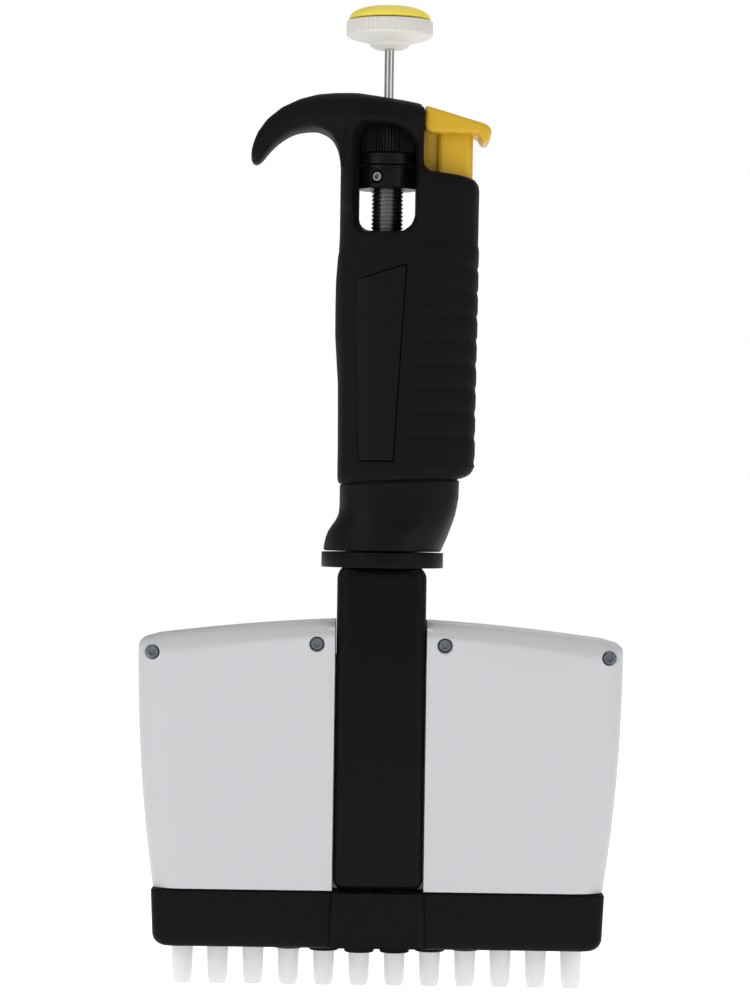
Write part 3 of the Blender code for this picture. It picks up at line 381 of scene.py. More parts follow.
def shoulder_height(x):
    """The grip's top falls away towards the ejector's side."""
    return 207.0 - 0.13 * (x - 10.1)


grip_rings = [
    oval(-11.4, 19.4, 11.9, seam_height),
    oval(-11.6, 21.6, 12.3, lambda x: seam_height(x) + 0.8),
    oval(-11.6, 22.8, 12.4, lambda x: seam_height(x) + 2.0),
]
grip_rings += [oval(left, right, deep, z) for z, left, right, deep in GRIP_STATIONS]
grip_rings += [
    oval(-12.0, 23.4, 12.2, lambda x: shoulder_height(x) - 2.2),
    oval(-11.8, 22.9, 11.9, lambda x: shoulder_height(x) - 0.8),
    oval(-11.0, 21.9, 11.0, shoulder_height),
]
handle = lofted("handle_body", grip_rings)

post_rings = [oval(-12.0, 10.1, 11.9, z, 3.8) for z in (198.0, 204.0, 210.0, 216.0, 221.0)]
shape_with(handle, lofted("post", post_rings), "UNION")

HOOK_RUN = [
    # middle x, middle z, half thickness, half width, angle below level
    (9.1, 220.1, 4.1, 10.2, -8.0),
    (4.0, 220.9, 4.3, 10.6, -8.0),
    (-2.0, 221.6, 4.5, 10.8, -7.0),
    (-8.0, 222.0, 5.0, 10.6, -3.0),
    (-13.0, 221.8, 5.2, 9.8, 2.0),
    (-17.5, 221.9, 4.7, 9.0, 5.0),
    (-21.5, 221.3, 4.2, 8.4, 14.0),
    (-25.4, 219.9, 3.7, 7.8, 28.0),
    (-28.6, 217.7, 3.35, 7.2, 42.0),
    (-31.0, 215.0, 2.9, 6.5, 56.0),
    (-32.5, 212.4, 2.3, 5.8, 66.0),
    (-33.3, 210.2, 1.7, 5.0, 74.0),
    (-33.7, 208.9, 1.0, 3.8, 80.0),
    (-33.8, 208.3, 0.4, 2.0, 80.0),
]
hook_rings = []
for x, z, thick, wide, lean in HOOK_RUN:
    turn = math.radians(lean)
    ring = []
    for i in range(40):
        angle = 2 * math.pi * i / 40
        out = thick * math.copysign(abs(math.sin(angle)) ** 0.72, math.sin(angle))
        side = wide * math.copysign(abs(math.cos(angle)) ** 0.72, math.cos(angle))
        ring.append(((x - out * math.sin(turn)) * MM, side * MM, (z + out * math.cos(turn)) * MM))
    hook_rings.append(ring)
shape_with(handle, lofted("hook", hook_rings), "UNION")

hook_fillet = [(-11.0, 207.5), (-12.0, 207.5), (-12.15, 210.0), (-12.8, 213.0), (-14.2, 215.7),
               (-16.0, 217.0), (-18.6, 217.8), (-18.6, 220.0), (-11.0, 220.0)]
shape_with(handle, upright("fillet", hook_fillet, -8.0 * MM, 8.0 * MM), "UNION")

WINDOW_EDGE = [(-7.1, 194.2), (-6.3, 192.4), (-4.5, 191.8), (4.1, 191.8), (6.3, 193.5), (7.1, 196.0),
               (7.1, 211.5), (6.5, 214.0), (4.5, 216.4), (0.0, 218.0), (-4.0, 218.2), (-6.3, 217.0),
               (-7.1, 215.0)]
SCOOP_EDGE = [(-10.4, 194.0), (-9.6, 191.6), (-6.5, 190.9), (4.1, 191.2), (6.9, 193.0), (7.7, 196.0),
              (8.1, 212.0), (7.9, 214.6), (6.2, 217.2), (2.0, 218.9), (-5.5, 219.9), (-10.2, 219.4),
              (-10.9, 215.5)]
shape_with(handle, upright("window", WINDOW_EDGE, -20.0 * MM, 20.0 * MM))
for face in (-1, 1):
    outer = [(x * MM, face * 13.0 * MM, z * MM) for x, z in SCOOP_EDGE]
    inner = [(x * MM, face * 6.5 * MM, z * MM) for x, z in WINDOW_EDGE]
    shape_with(handle, lofted("scoop", [outer, inner]))
shape_with(handle, turned("knob_room", [(8.45 * MM, 191.8 * MM), (8.45 * MM, 219.7 * MM)], 48))
shape_with(handle, turned("rod_way", [(1.5 * MM, 219.0 * MM), (1.5 * MM, 230.0 * MM)], 24))
shape_with(handle, turned("works", [
    (9.9 * MM, 120.0 * MM), (9.9 * MM, 156.1 * MM), (7.0 * MM, 156.1 * MM), (7.0 * MM, 158.8 * MM),
    (9.9 * MM, 158.8 * MM), (9.9 * MM, 183.2 * MM), (7.3 * MM, 183.2 * MM), (7.3 * MM, 189.2 * MM),
    (4.4 * MM, 189.2 * MM), (4.4 * MM, 192.6 * MM)], 64))
shape_with(handle, boxed(
    "stem_room", (12.1 * MM, -5.2 * MM, 172.0 * MM), (21.9 * MM, 5.2 * MM, 214.0 * MM), 1.8 * MM, True))
shape_with(handle, boxed("web_room", (8.9 * MM, -3.3 * MM, 195.0 * MM), (13.4 * MM, 3.3 * MM, 214.0 * MM)))
shape_with(handle, boxed("cap_room", (8.85 * MM, -8.3 * MM, 208.0 * MM), (18.1 * MM, 8.3 * MM, 230.0 * MM)))
shape_with(handle, boxed("rod_room", (8.9 * MM, -2.1 * MM, 120.0 * MM), (18.9 * MM, 2.1 * MM, 173.0 * MM)))
shape_with(handle, boxed("lens_way", (-3.8 * MM, 6.9 * MM, 164.5 * MM), (3.8 * MM, 15.0 * MM, 180.2 * MM)))
shape_with(handle, boxed("lens_room", (-5.2 * MM, 10.9 * MM, 163.1 * MM), (5.2 * MM, 15.0 * MM, 181.6 * MM)))

blend = handle.modifiers.new("blend", "REMESH")
blend.mode = "VOXEL"
blend.voxel_size = 1.0 * MM
calm = handle.modifiers.new("calm", "SMOOTH")
calm.factor = 0.5
calm.iterations = 2
apply_all(handle)


def ramp(value, low, high):
    """0 below low, 1 above high, and a smooth run between."""
    share = min(max((value - low) / (high - low), 0.0), 1.0)
    return share * share * (3.0 - 2.0 * share)


PAD_STEP = 6.1
for vertex in handle.data.vertices:
    x, y, z = (value / MM for value in vertex.co)
    if z > 196.0 or abs(y) < 3.0 and x < 20.0:
        continue
    phase = ((z - 133.85) / PAD_STEP) % 1.0
    pad = ramp(phase, 0.0, 0.18) * (1.0 - ramp(phase, 0.78, 0.96))
    edge = 4.3 + (z - 137.0) * 0.066
    pad *= ramp(x, edge, edge + 0.7) * ramp(z, 131.0, 133.0) * (1.0 - ramp(z, 187.0, 189.0))
    strip = ramp(-x, 9.7, 10.3) * (1.0 - ramp(z, 185.2, 186.0))
    vertex.co += vertex.normal * (0.30 * pad * (abs(y) > 9.0 or x > 18.0) + 0.22 * strip * (x < -9.0)) * MM

LABEL = [(-8.3, 178.6), (4.9, 182.8), (2.2, 133.6), (-6.2, 133.6)]
LABEL_ROOM = [(-8.65, 178.8), (5.25, 183.3), (2.5, 133.2), (-6.5, 133.2)]
plate = handle.copy()
plate.data = handle.data.copy()
plate.name = "label_plate"
bpy.context.scene.collection.objects.link(plate)
shape_with(plate, upright("plate_edge", LABEL, -20.0 * MM, -11.2 * MM), "INTERSECT")
shape_with(handle, upright("plate_room", LABEL_ROOM, -20.0 * MM, -11.0 * MM))
done(handle, "handle", handle_plastic, "handle_plastic", "handle_shell", angle=50.0)

plate_plastic = plastic("label_plastic", (0.0036, 0.0041, 0.0042), 0.44, 0.2, 1500.0, 0.15, 0.08, 0.12)
done(plate, "handle", plate_plastic, "handle_plastic", angle=40.0)


# ------------------------------------------------------------------ neck adaptor
# A short black moulding under the grip, screwed to it from inside. Its foot is round, for the
# swivelling module, and it leans out to the grip's wider section above.
adaptor_rings = [
    oval(-14.7, 14.7, 14.7, 110.65, 2.0),
    oval(-15.0, 15.0, 15.0, 110.95, 2.0),
    oval(-14.9, 15.5, 14.9, 112.2, 2.05),
    oval(-14.5, 16.3, 14.6, 114.0, 2.15),
    oval(-13.9, 16.9, 14.3, 115.6, 2.3),
    oval(-13.0, 17.4, 13.9, 117.0, 2.45),
    oval(-12.0, 17.9, 13.4, 118.4, 2.6),
    oval(-11.3, 18.4, 13.0, 120.0, 2.8),
    oval(-11.1, 18.8, 12.6, 122.0, 3.0),
    oval(-11.1, 19.2, 12.3, 124.4, 3.2),
    oval(-11.1, 19.3, 12.2, lambda x: seam_height(x) - 0.45, 3.3),
    oval(-10.9, 19.1, 12.0, lambda x: seam_height(x) - 0.25, 3.3),
    oval(-10.8, 18.9, 11.4, lambda x: seam_height(x) - 0.25, 3.3),
    oval(-10.8, 18.8, 11.3, lambda x: seam_height(x) + 0.9, 3.3),
]
adaptor = lofted("neck_adaptor_skin", adaptor_rings)
shape_with(adaptor, turned("adaptor_works", [
    (6.3 * MM, 105.0 * MM), (6.3 * MM, 119.9 * MM), (8.3 * MM, 119.9 * MM), (8.3 * MM, 125.3 * MM),
    (9.9 * MM, 125.3 * MM), (9.9 * MM, 135.0 * MM)], 64))
shape_with(adaptor, boxed("rod_slot", (9.3 * MM, -2.1 * MM, 105.0 * MM), (14.1 * MM, 2.1 * MM, 135.0 * MM)))
adaptor_plastic = plastic("adaptor_plastic", (0.0038, 0.0042, 0.0041), 0.46, 0.2, 2600.0, 0.25, 0.1, 0.12)
done(adaptor, "handle", adaptor_plastic, "adaptor_plastic", "neck_adaptor")


# ------------------------------------------------------------------ ejector column and flange
# The black shield over the module's middle: two legs down its front and back, closed to a tube
# at the top under a round flange that the handle's ejector rod presses on.
shield_plastic = plastic("shield_plastic", (0.0026, 0.0033, 0.0034), 0.42, 0.15, 2200.0, 0.12, 0.08, 0.10)
low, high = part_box("ejector_column")
half = 11.25 * MM
flange_low = 106.5 * MM
column = boxed("ejector_column_skin", (-half, -14.2 * MM, low[2]), (half, 14.2 * MM, flange_low + 0.4 * MM),
               3.0 * MM, True)
shape_with(column, turned("flange", [(15.5 * MM, flange_low), (15.5 * MM, high[2])], 96), "UNION")
shape_with(column, boxed("span", (-20 * MM, -9.2 * MM, 20 * MM), (20 * MM, 9.2 * MM, 93.5 * MM)))
shape_with(column, turned("neck_way", [(6.3 * MM, 90 * MM), (6.3 * MM, 120 * MM)], 48))
round_edges(column, 0.35 * MM)
done(column, "ejector_frame", shield_plastic, "shield_plastic", "ejector_column")


# ------------------------------------------------------------------ ejector comb
# The trough across the foot that pushes the tips off: one black moulding, open at the top, with
# a collar round each cone. The collars are longest in the middle, so the tips let go in turn.
comb_low = 10.6 * MM
comb_high = 25.0 * MM


def comb_ring(half_width, half_depth, z, corner=2.2 * MM, arc=8):
    """A rounded rectangle in plan, in metres."""
    ring = []
    for k, (sx, sy) in enumerate(((1, 1), (-1, 1), (-1, -1), (1, -1))):
        for i in range(arc):
            turn = math.pi / 2 * (k + i / (arc - 1))
            ring.append((sx * (half_width - corner) + corner * math.cos(turn),
                         sy * (half_depth - corner) + corner * math.sin(turn), z))
    return ring


comb_rings = []
for i in range(7):
    turn = math.pi / 2 * i / 6
    inward = 1.0 - math.sin(turn)
    z = comb_low + 3.4 * MM * (1.0 - math.cos(turn))
    comb_rings.append(comb_ring(56.65 * MM - 3.4 * MM * inward, 12.6 * MM - 1.6 * MM * inward, z))
comb_rings.append(comb_ring(57.15 * MM, 12.6 * MM, comb_high - 0.4 * MM))
comb_rings.append(comb_ring(56.9 * MM, 12.35 * MM, comb_high))
comb = lofted("ejector_comb_skin", comb_rings)
foot_rings = []
for z, flare in ((10.9, 0.0), (12.5, 0.0), (20.0, 0.0), (23.0, 0.15), (24.7, 0.3)):
    foot_rings.append(comb_ring((12.5 - flare) * MM, 14.2 * MM, z * MM, 3.0 * MM))
shape_with(comb, lofted("foot", foot_rings), "UNION")
shape_with(comb, boxed("trough", (-55.6 * MM, -11.0 * MM, 12.2 * MM), (55.6 * MM, 11.0 * MM, 40 * MM), 1.4 * MM, True))
for i in range(12):
    x = (i - 5.5) * 9.0 * MM
    rank = min(i, 11 - i)
    if rank:
        drop = comb_low - 0.42 * MM * rank
        shape_with(comb, turned("collar", [
            (3.6 * MM, drop), (3.8 * MM, drop + 0.2 * MM), (3.8 * MM, 11.4 * MM)], 40, x), "UNION")
for i in range(12):
    x = (i - 5.5) * 9.0 * MM
    shape_with(comb, turned("collar_way", [(3.1 * MM, 5 * MM), (3.1 * MM, 14 * MM)], 40, x))
done(comb, "ejector_frame", shield_plastic, "shield_plastic", "ejector_comb", angle=30.0)

# ------------------------------------------------------------------ module housing
# Two light grey covers, moulded in a hard satin plastic, meet in the middle of the depth and are
# held by four countersunk screws from the front. Their sides bow out and their top is arched, and
# both faces are recessed in the middle for the ejector's column.
housing_plastic = plastic("housing_plastic", (0.620, 0.628, 0.646), 0.40, 0.03, 1800.0, 0.10, 0.08, 0.5)
housing_low = 25.3
housing_rise = 68.2


def side_width(z):
    """Half width of the housing at a height, in millimetres."""
    up = min(max((z - housing_low) / (housing_rise - 5.1), 0.0), 1.0)
    return 61.45 - 4.4 * (1.0 - up) ** 2.2


def arch(x):
    """Height of the arched top, in millimetres."""
    return housing_low + housing_rise - 0.05 - 5.1 * (abs(x) / 61.45) ** 1.7


def cover_ring(depth, side_in, top_in, wall=0.0):
    """The cover's outline at a depth, drawn in at the sides and the top."""
    right = []
    for k in range(26):
        z = housing_low + (arch(61.45) - 2.6 - housing_low) * k / 25
        right.append((side_width(z), z))
    for k in range(1, 9):
        turn = math.pi / 2 * k / 8
        right.append((61.45 - 2.6 * (1 - math.cos(turn)), arch(61.45) - 2.6 * (1 - math.sin(turn))))
    for k in range(1, 30):
        x = (61.45 - 2.6) * (1 - k / 30)
        right.append((x, arch(x)))
    half = []
    for x, z in right:
        share = max(z - housing_low, 0.0) / housing_rise
        grip = (x / 61.45) ** 1.5
        half.append((x - (side_in + wall) * grip, z - share * (top_in + wall)))
    if wall:
        half = [(x, z if z > housing_low + 0.01 else housing_low - 1.0) for x, z in half]
    ring = half + [(0.0, half[-1][1])] + [(-x, z) for x, z in reversed(half)]
    return [(x * MM, depth * MM, z * MM) for x, z in ring]


COVER_DEPTHS = [
    # depth from the middle, side drawn in, top drawn in
    (0.15, 0.0, 0.0),
    (6.0, 0.1, 0.0),
    (8.6, 0.5, 0.15),
    (10.2, 1.3, 0.6),
    (11.4, 2.7, 1.6),
    (12.3, 4.6, 2.7),
    (12.9, 6.8, 3.5),
    (13.12, 8.4, 3.9),
    (13.2, 10.0, 4.4),
]
SCREWS = [(-57.5, 84.6), (-16.1, 87.2), (57.5, 84.6), (16.1, 87.2)]


def front_turned(name, profile, x, z, steps=32):
    """A turned body whose axis points to the front; heights are distances towards -Y, in metres."""
    item = turned(name, profile, steps)
    item.rotation_euler = (math.pi / 2, 0.0, 0.0)
    item.location = (x * MM, 0.0, z * MM)
    bpy.ops.object.transform_apply(location=True, rotation=True, scale=True)
    return item


def cover(name, face, node):
    """One cover; face is -1 for the front and 1 for the back."""
    shell = lofted(name, [cover_ring(face * y, side, top) for y, side, top in COVER_DEPTHS])
    hollow = [cover_ring(face * -1.0, 0.0, 0.0, 1.8)]
    hollow += [cover_ring(face * (y - 1.8), side, top, 1.8) for y, side, top in COVER_DEPTHS[2:-1]]
    shape_with(shell, lofted("hollow", hollow))
    reach = sorted((face * 7.1 * MM, face * 12.0 * MM))
    shape_with(shell, boxed("rib", (-13.05 * MM, reach[0], 25.6 * MM), (13.05 * MM, reach[1], 91.4 * MM)), "UNION")
    for x, z in SCREWS:
        start = 11.0 if abs(x) > 30 else 12.2
        ends = sorted((-face * start * MM, -face * 0.15 * MM))
        shape_with(shell, front_turned("boss", [(2.4 * MM, ends[0]), (2.4 * MM, ends[1])], x, z), "UNION")
    far = sorted((face * 8.9 * MM, face * 20 * MM))
    shape_with(shell, boxed("channel", (-11.55 * MM, far[0], 20 * MM), (11.55 * MM, far[1], 100 * MM)))
    full = sorted((-face * 1 * MM, face * 21 * MM))
    shape_with(shell, boxed("notch", (-11.57 * MM, full[0], 83.9 * MM), (11.57 * MM, full[1], 101 * MM)))
    for x, z in SCREWS:
        if face < 0:
            shape_with(shell, front_turned("countersink", [
                (1.2 * MM, -1 * MM), (1.2 * MM, 10.6 * MM), (1.9 * MM, 10.6 * MM), (1.9 * MM, 12.75 * MM),
                (2.15 * MM, 13.1 * MM), (2.15 * MM, 14 * MM)], x, z, 40))
        else:
            shape_with(shell, front_turned("thread", [(1.2 * MM, -8.5 * MM), (1.2 * MM, 1 * MM)], x, z))
    return done(shell, "module", housing_plastic, "housing_plastic", node, angle=32.0)


cover("front_cover_skin", -1, "front_cover")
cover("rear_cover_skin", 1, "rear_cover")

# ------------------------------------------------------------------ housing screws
# Four countersunk steel screws hold the covers together. Their heads are blackened, sit a little
# below the surface and have a hexagonal socket.


def metal_group():
    """Machined metal: fine turning marks, a cloudy film, and a polish that varies with both."""
    group = bpy.data.node_groups.new("machined_surface", "ShaderNodeTree")
    socket = group.interface.new_socket
    socket("Colour", in_out="INPUT", socket_type="NodeSocketColor")
    for name in ("Film", "Mark scale", "Mark depth", "Roughness", "Polish change"):
        socket(name, in_out="INPUT", socket_type="NodeSocketFloat")
    socket("Colour", in_out="OUTPUT", socket_type="NodeSocketColor")
    socket("Roughness", in_out="OUTPUT", socket_type="NodeSocketFloat")
    socket("Normal", in_out="OUTPUT", socket_type="NodeSocketVector")
    nodes = group.nodes
    links = group.links
    given = nodes.new("NodeGroupInput")
    out = nodes.new("NodeGroupOutput")
    where = nodes.new("ShaderNodeTexCoord")
    stretch = nodes.new("ShaderNodeMapping")
    stretch.inputs["Scale"].default_value = (0.08, 0.08, 1.0)
    links.new(where.outputs["Object"], stretch.inputs["Vector"])
    marks = nodes.new("ShaderNodeTexNoise")
    marks.inputs["Detail"].default_value = 4.0
    links.new(stretch.outputs["Vector"], marks.inputs["Vector"])
    links.new(given.outputs["Mark scale"], marks.inputs["Scale"])
    film = nodes.new("ShaderNodeTexNoise")
    film.inputs["Scale"].default_value = 220.0
    film.inputs["Detail"].default_value = 5.0
    links.new(where.outputs["Object"], film.inputs["Vector"])
    centred = nodes.new("ShaderNodeMath")
    centred.operation = "SUBTRACT"
    centred.inputs[1].default_value = 0.5
    links.new(film.outputs["Fac"], centred.inputs[0])
    tone = nodes.new("ShaderNodeMath")
    tone.operation = "MULTIPLY_ADD"
    tone.inputs[2].default_value = 1.0
    links.new(centred.outputs[0], tone.inputs[0])
    links.new(given.outputs["Film"], tone.inputs[1])
    tint = nodes.new("ShaderNodeVectorMath")
    tint.operation = "SCALE"
    links.new(given.outputs["Colour"], tint.inputs[0])
    links.new(tone.outputs[0], tint.inputs["Scale"])
    links.new(tint.outputs["Vector"], out.inputs["Colour"])
    polish = nodes.new("ShaderNodeMath")
    polish.operation = "MULTIPLY_ADD"
    links.new(centred.outputs[0], polish.inputs[0])
    links.new(given.outputs["Polish change"], polish.inputs[1])
    links.new(given.outputs["Roughness"], polish.inputs[2])
    links.new(polish.outputs[0], out.inputs["Roughness"])
    bump = nodes.new("ShaderNodeBump")
    bump.inputs["Distance"].default_value = 0.00005
    links.new(given.outputs["Mark depth"], bump.inputs["Strength"])
    links.new(marks.outputs["Fac"], bump.inputs["Height"])
    links.new(bump.outputs["Normal"], out.inputs["Normal"])
    return group


machined = metal_group()


def metal(name, colour, roughness, film=0.2, marks=9000.0, depth=0.4, polish=0.15):
    """A machined or drawn metal in one colour."""
    made = bpy.data.materials.new(name)
    made.use_nodes = True
    nodes = made.node_tree.nodes
    links = made.node_tree.links
    shader = nodes["Principled BSDF"]
    shader.inputs["Metallic"].default_value = 1.0
    surface = nodes.new("ShaderNodeGroup")
    surface.node_tree = machined
    surface.inputs["Colour"].default_value = (*colour, 1.0)
    surface.inputs["Film"].default_value = film
    surface.inputs["Mark scale"].default_value = marks
    surface.inputs["Mark depth"].default_value = depth
    surface.inputs["Roughness"].default_value = roughness
    surface.inputs["Polish change"].default_value = polish
    links.new(surface.outputs["Colour"], shader.inputs["Base Color"])
    links.new(surface.outputs["Roughness"], shader.inputs["Roughness"])
    links.new(surface.outputs["Normal"], shader.inputs["Normal"])
    return made


def hexagon_socket(item, across, top, deep, name="socket"):
    """A six-sided socket down the axis of a turned piece."""
    shape_with(item, turned(name, [(across, top - deep), (across, top + 1.0 * MM)], 6))


screw_metal = metal("screw_metal", (0.17, 0.19, 0.21), 0.36, 0.5, 7000.0, 0.3, 0.2)
for i, (x, z) in enumerate(SCREWS):
    screw = turned("cover_screw_skin", [
        (1.1 * MM, -8.0 * MM), (1.1 * MM, 11.0 * MM), (1.6 * MM, 11.0 * MM), (1.6 * MM, 12.05 * MM),
        (1.4 * MM, 12.3 * MM)], 40)
    hexagon_socket(screw, 0.95 * MM, 12.3 * MM, 1.0 * MM)
    screw.rotation_euler = (math.pi / 2, 0.0, 0.0)
    screw.location = (x * MM, 0.0, z * MM)
    done(screw, "module", screw_metal, "screw_steel", "cover_screw_%d" % (i + 1), angle=30.0)

# ------------------------------------------------------------------ tip cones
# Twelve white nozzles that the pipette tips are pushed onto, moulded in one piece each with a
# seat inside the comb. The end is rounded and the air bore opens in its face.
cone_plastic = plastic("cone_plastic", (0.87, 0.885, 0.88), 0.36, 0.05, 1500.0, 0.1, 0.08, 0.5)
for i in range(12):
    x = (i - 5.5) * 9.0 * MM
    cone = turned("cone_skin", [
        (1.2 * MM, 0.0), (1.75 * MM, 0.0), (1.98 * MM, 0.1 * MM), (2.09 * MM, 0.4 * MM),
        (2.12 * MM, 1.0 * MM), (2.48 * MM, 1.6 * MM), (2.78 * MM, 9.6 * MM), (2.8 * MM, 10.6 * MM),
        (2.8 * MM, 13.0 * MM), (3.4 * MM, 13.8 * MM), (3.4 * MM, 31.9 * MM), (4.2 * MM, 31.9 * MM),
        (4.2 * MM, 33.6 * MM), (3.4 * MM, 33.6 * MM), (3.4 * MM, 46.0 * MM), (3.1 * MM, 46.0 * MM),
        (3.1 * MM, 38.0 * MM), (1.2 * MM, 38.0 * MM)], 56, x, joined=True)
    done(cone, "module", cone_plastic, "cone_plastic", "tip_cone_%02d" % (i + 1), angle=30.0)

# ------------------------------------------------------------------ volume knob and collar
# The dial in the window: a black moulded knob with a fine straight knurl above a smooth band, and
# under it a collar that one small steel set screw clamps to the spindle.
knob_plastic = plastic("knob_plastic", (0.0038, 0.0042, 0.0043), 0.36, 0.15, 2400.0, 0.12, 0.08, 0.16)


def knurled(name, core, crest, low, high, count, soft=0.5 * MM):
    """A solid drum with a straight knurl: each rib is one narrow crest between two roots."""
    rings = []
    heights = [(low, 0.0), (low + soft * 0.4, 1.0), (high - soft, 1.0), (high - soft * 0.3, 0.5), (high, -1.2)]
    for z, share in heights:
        ring = []
        for i in range(count * 4):
            turn = 2 * math.pi * i / (count * 4)
            up = (0.0, 0.8, 1.0, 0.8)[i % 4]
            radius = core + (crest - core) * up * max(share, 0.0) + min(share, 0.0) * 0.45 * MM
            ring.append((radius * math.cos(turn), radius * math.sin(turn), z))
        rings.append(ring)
    return lofted(name, rings)


knob = knurled("volume_knob_skin", 7.52 * MM, 7.9 * MM, 211.7 * MM, 219.3 * MM, 64)
shape_with(knob, turned("band", [
    (7.9 * MM, 208.6 * MM), (8.13 * MM, 208.8 * MM), (8.13 * MM, 211.3 * MM), (7.9 * MM, 211.6 * MM),
    (7.5 * MM, 211.8 * MM)], 96), "UNION")
shape_with(knob, turned("knob_bore", [
    (4.4 * MM, 200 * MM), (4.4 * MM, 215.6 * MM), (1.5 * MM, 215.6 * MM), (1.5 * MM, 230 * MM)], 48))
done(knob, "dial", knob_plastic, "knob_plastic", "volume_knob", angle=28.0)

collar = turned("knob_collar_skin", [
    (4.4 * MM, 202.6 * MM), (7.65 * MM, 202.6 * MM), (7.9 * MM, 202.85 * MM), (7.9 * MM, 207.3 * MM),
    (7.75 * MM, 207.4 * MM), (7.75 * MM, 207.7 * MM), (7.9 * MM, 207.8 * MM), (7.8 * MM, 208.3 * MM),
    (4.4 * MM, 208.3 * MM)], 96, joined=True)


def radially(item, height):
    """Lay a turned piece along the collar's radius, 21 degrees left of the front."""
    lay = Matrix.Rotation(math.radians(-21.0), 4, "Z") @ Matrix.Rotation(math.pi / 2, 4, "X")
    item.matrix_world = Matrix.Translation((0.0, 0.0, height)) @ lay
    bpy.ops.object.select_all(action="DESELECT")
    item.select_set(True)
    bpy.context.view_layer.objects.active = item
    bpy.ops.object.transform_apply(location=True, rotation=True, scale=True)
    return item


shape_with(collar, radially(turned("screw_way", [
    (1.55 * MM, 3.0 * MM), (1.55 * MM, 7.4 * MM), (1.9 * MM, 7.9 * MM), (1.9 * MM, 9.0 * MM)], 40), 205.45 * MM))
done(collar, "dial", knob_plastic, "knob_plastic", "knob_collar", angle=28.0)

set_steel = metal("set_screw_steel", (0.22, 0.225, 0.23), 0.30, 0.25, 9000.0, 0.3, 0.15)
set_screw = turned("set_screw_skin", [
    (1.3 * MM, 4.5 * MM), (1.3 * MM, 7.2 * MM), (1.12 * MM, 7.55 * MM)], 40)
hexagon_socket(set_screw, 0.72 * MM, 7.55 * MM, 1.1 * MM)
done(radially(set_screw, 205.45 * MM), "dial", set_steel, "steel", "set_screw", angle=30.0)

# ------------------------------------------------------------------ threaded spindle
# The hollow steel spindle under the knob: turned dark steel with a fine 1 mm thread that the
# brass nut in the handle takes. The plunger's rod runs down its middle.
dark_steel = metal("spindle_metal", (0.34, 0.33, 0.32), 0.30, 0.3, 9000.0, 0.4, 0.15)
low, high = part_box("threaded_spindle")
profile = [(1.5 * MM, low[2]), (3.6 * MM, low[2])]
z = low[2] + 0.35 * MM
while z < high[2] - 1.2 * MM:
    profile += [(3.62 * MM, z), (4.06 * MM, z + 0.42 * MM), (4.06 * MM, z + 0.55 * MM), (3.62 * MM, z + 0.97 * MM)]
    z += 1.0 * MM
profile += [(3.6 * MM, high[2]), (1.5 * MM, high[2])]
spindle = turned("threaded_spindle_skin", profile, 48, joined=True)
done(spindle, "dial", dark_steel, "spindle_steel", "threaded_spindle", angle=25.0)

# ------------------------------------------------------------------ plunger rod, button and insert
# A polished steel rod carries the thumb button: an ivory moulding with a finely ribbed rim and a
# conical underside, and a yellow dome pressed into its top as the colour code of the volume.
rod_steel = metal("rod_steel", (0.60, 0.60, 0.57), 0.24, 0.1, 9000.0, 0.2, 0.08)
low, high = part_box("plunger_rod")
disc_low, disc_high = 151.1 * MM, 153.1 * MM
rod_piece = turned("plunger_rod_skin", [
    (0.9 * MM, low[2]), (1.2 * MM, low[2] + 0.3 * MM), (1.2 * MM, disc_low), (6.3 * MM, disc_low),
    (6.5 * MM, disc_low + 0.2 * MM), (6.5 * MM, disc_high - 0.2 * MM), (6.3 * MM, disc_high),
    (1.2 * MM, disc_high), (1.2 * MM, high[2])], 40)
done(rod_piece, "plunger", rod_steel, "steel", "plunger_rod", angle=35.0)

button_plastic = plastic("button_plastic", (0.76, 0.75, 0.70), 0.42, 0.06, 1500.0, 0.12, 0.08, 0.5)
button = knurled("plunger_button_skin", 10.72 * MM, 11.0 * MM, 242.0 * MM, 245.6 * MM, 90, 0.35 * MM)
shape_with(button, turned("button_foot", [
    (3.7 * MM, 238.5 * MM), (4.9 * MM, 239.2 * MM), (5.3 * MM, 239.9 * MM), (5.6 * MM, 240.15 * MM),
    (8.2 * MM, 240.75 * MM), (10.2 * MM, 241.35 * MM), (10.8 * MM, 241.75 * MM), (10.85 * MM, 242.3 * MM)],
    96), "UNION")
shape_with(button, turned("insert_room", [(8.2 * MM, 242.9 * MM), (8.2 * MM, 250 * MM)], 96))
shape_with(button, turned("button_bore", [(1.5 * MM, 230 * MM), (1.5 * MM, 250 * MM)], 40))
done(button, "plunger", button_plastic, "button_plastic", "plunger_button", angle=28.0)

insert_plastic = plastic("insert_plastic", (0.96, 0.79, 0.085), 0.42, 0.08, 1500.0, 0.1, 0.08, 0.5)
dome = [(7.9 * MM, 243.2 * MM), (7.9 * MM, 245.9 * MM), (10.1 * MM, 245.9 * MM), (10.4 * MM, 246.1 * MM)]
for i in range(1, 13):
    turn = math.pi / 2 * i / 13
    dome.append((10.4 * MM * math.cos(turn) ** 0.8, 246.1 * MM + 3.38 * MM * math.sin(turn)))
dome.append((0.4 * MM, 249.48 * MM))
insert = turned("button_insert_skin", dome, 96)
done(insert, "plunger", insert_plastic, "insert_plastic", "button_insert", angle=40.0)

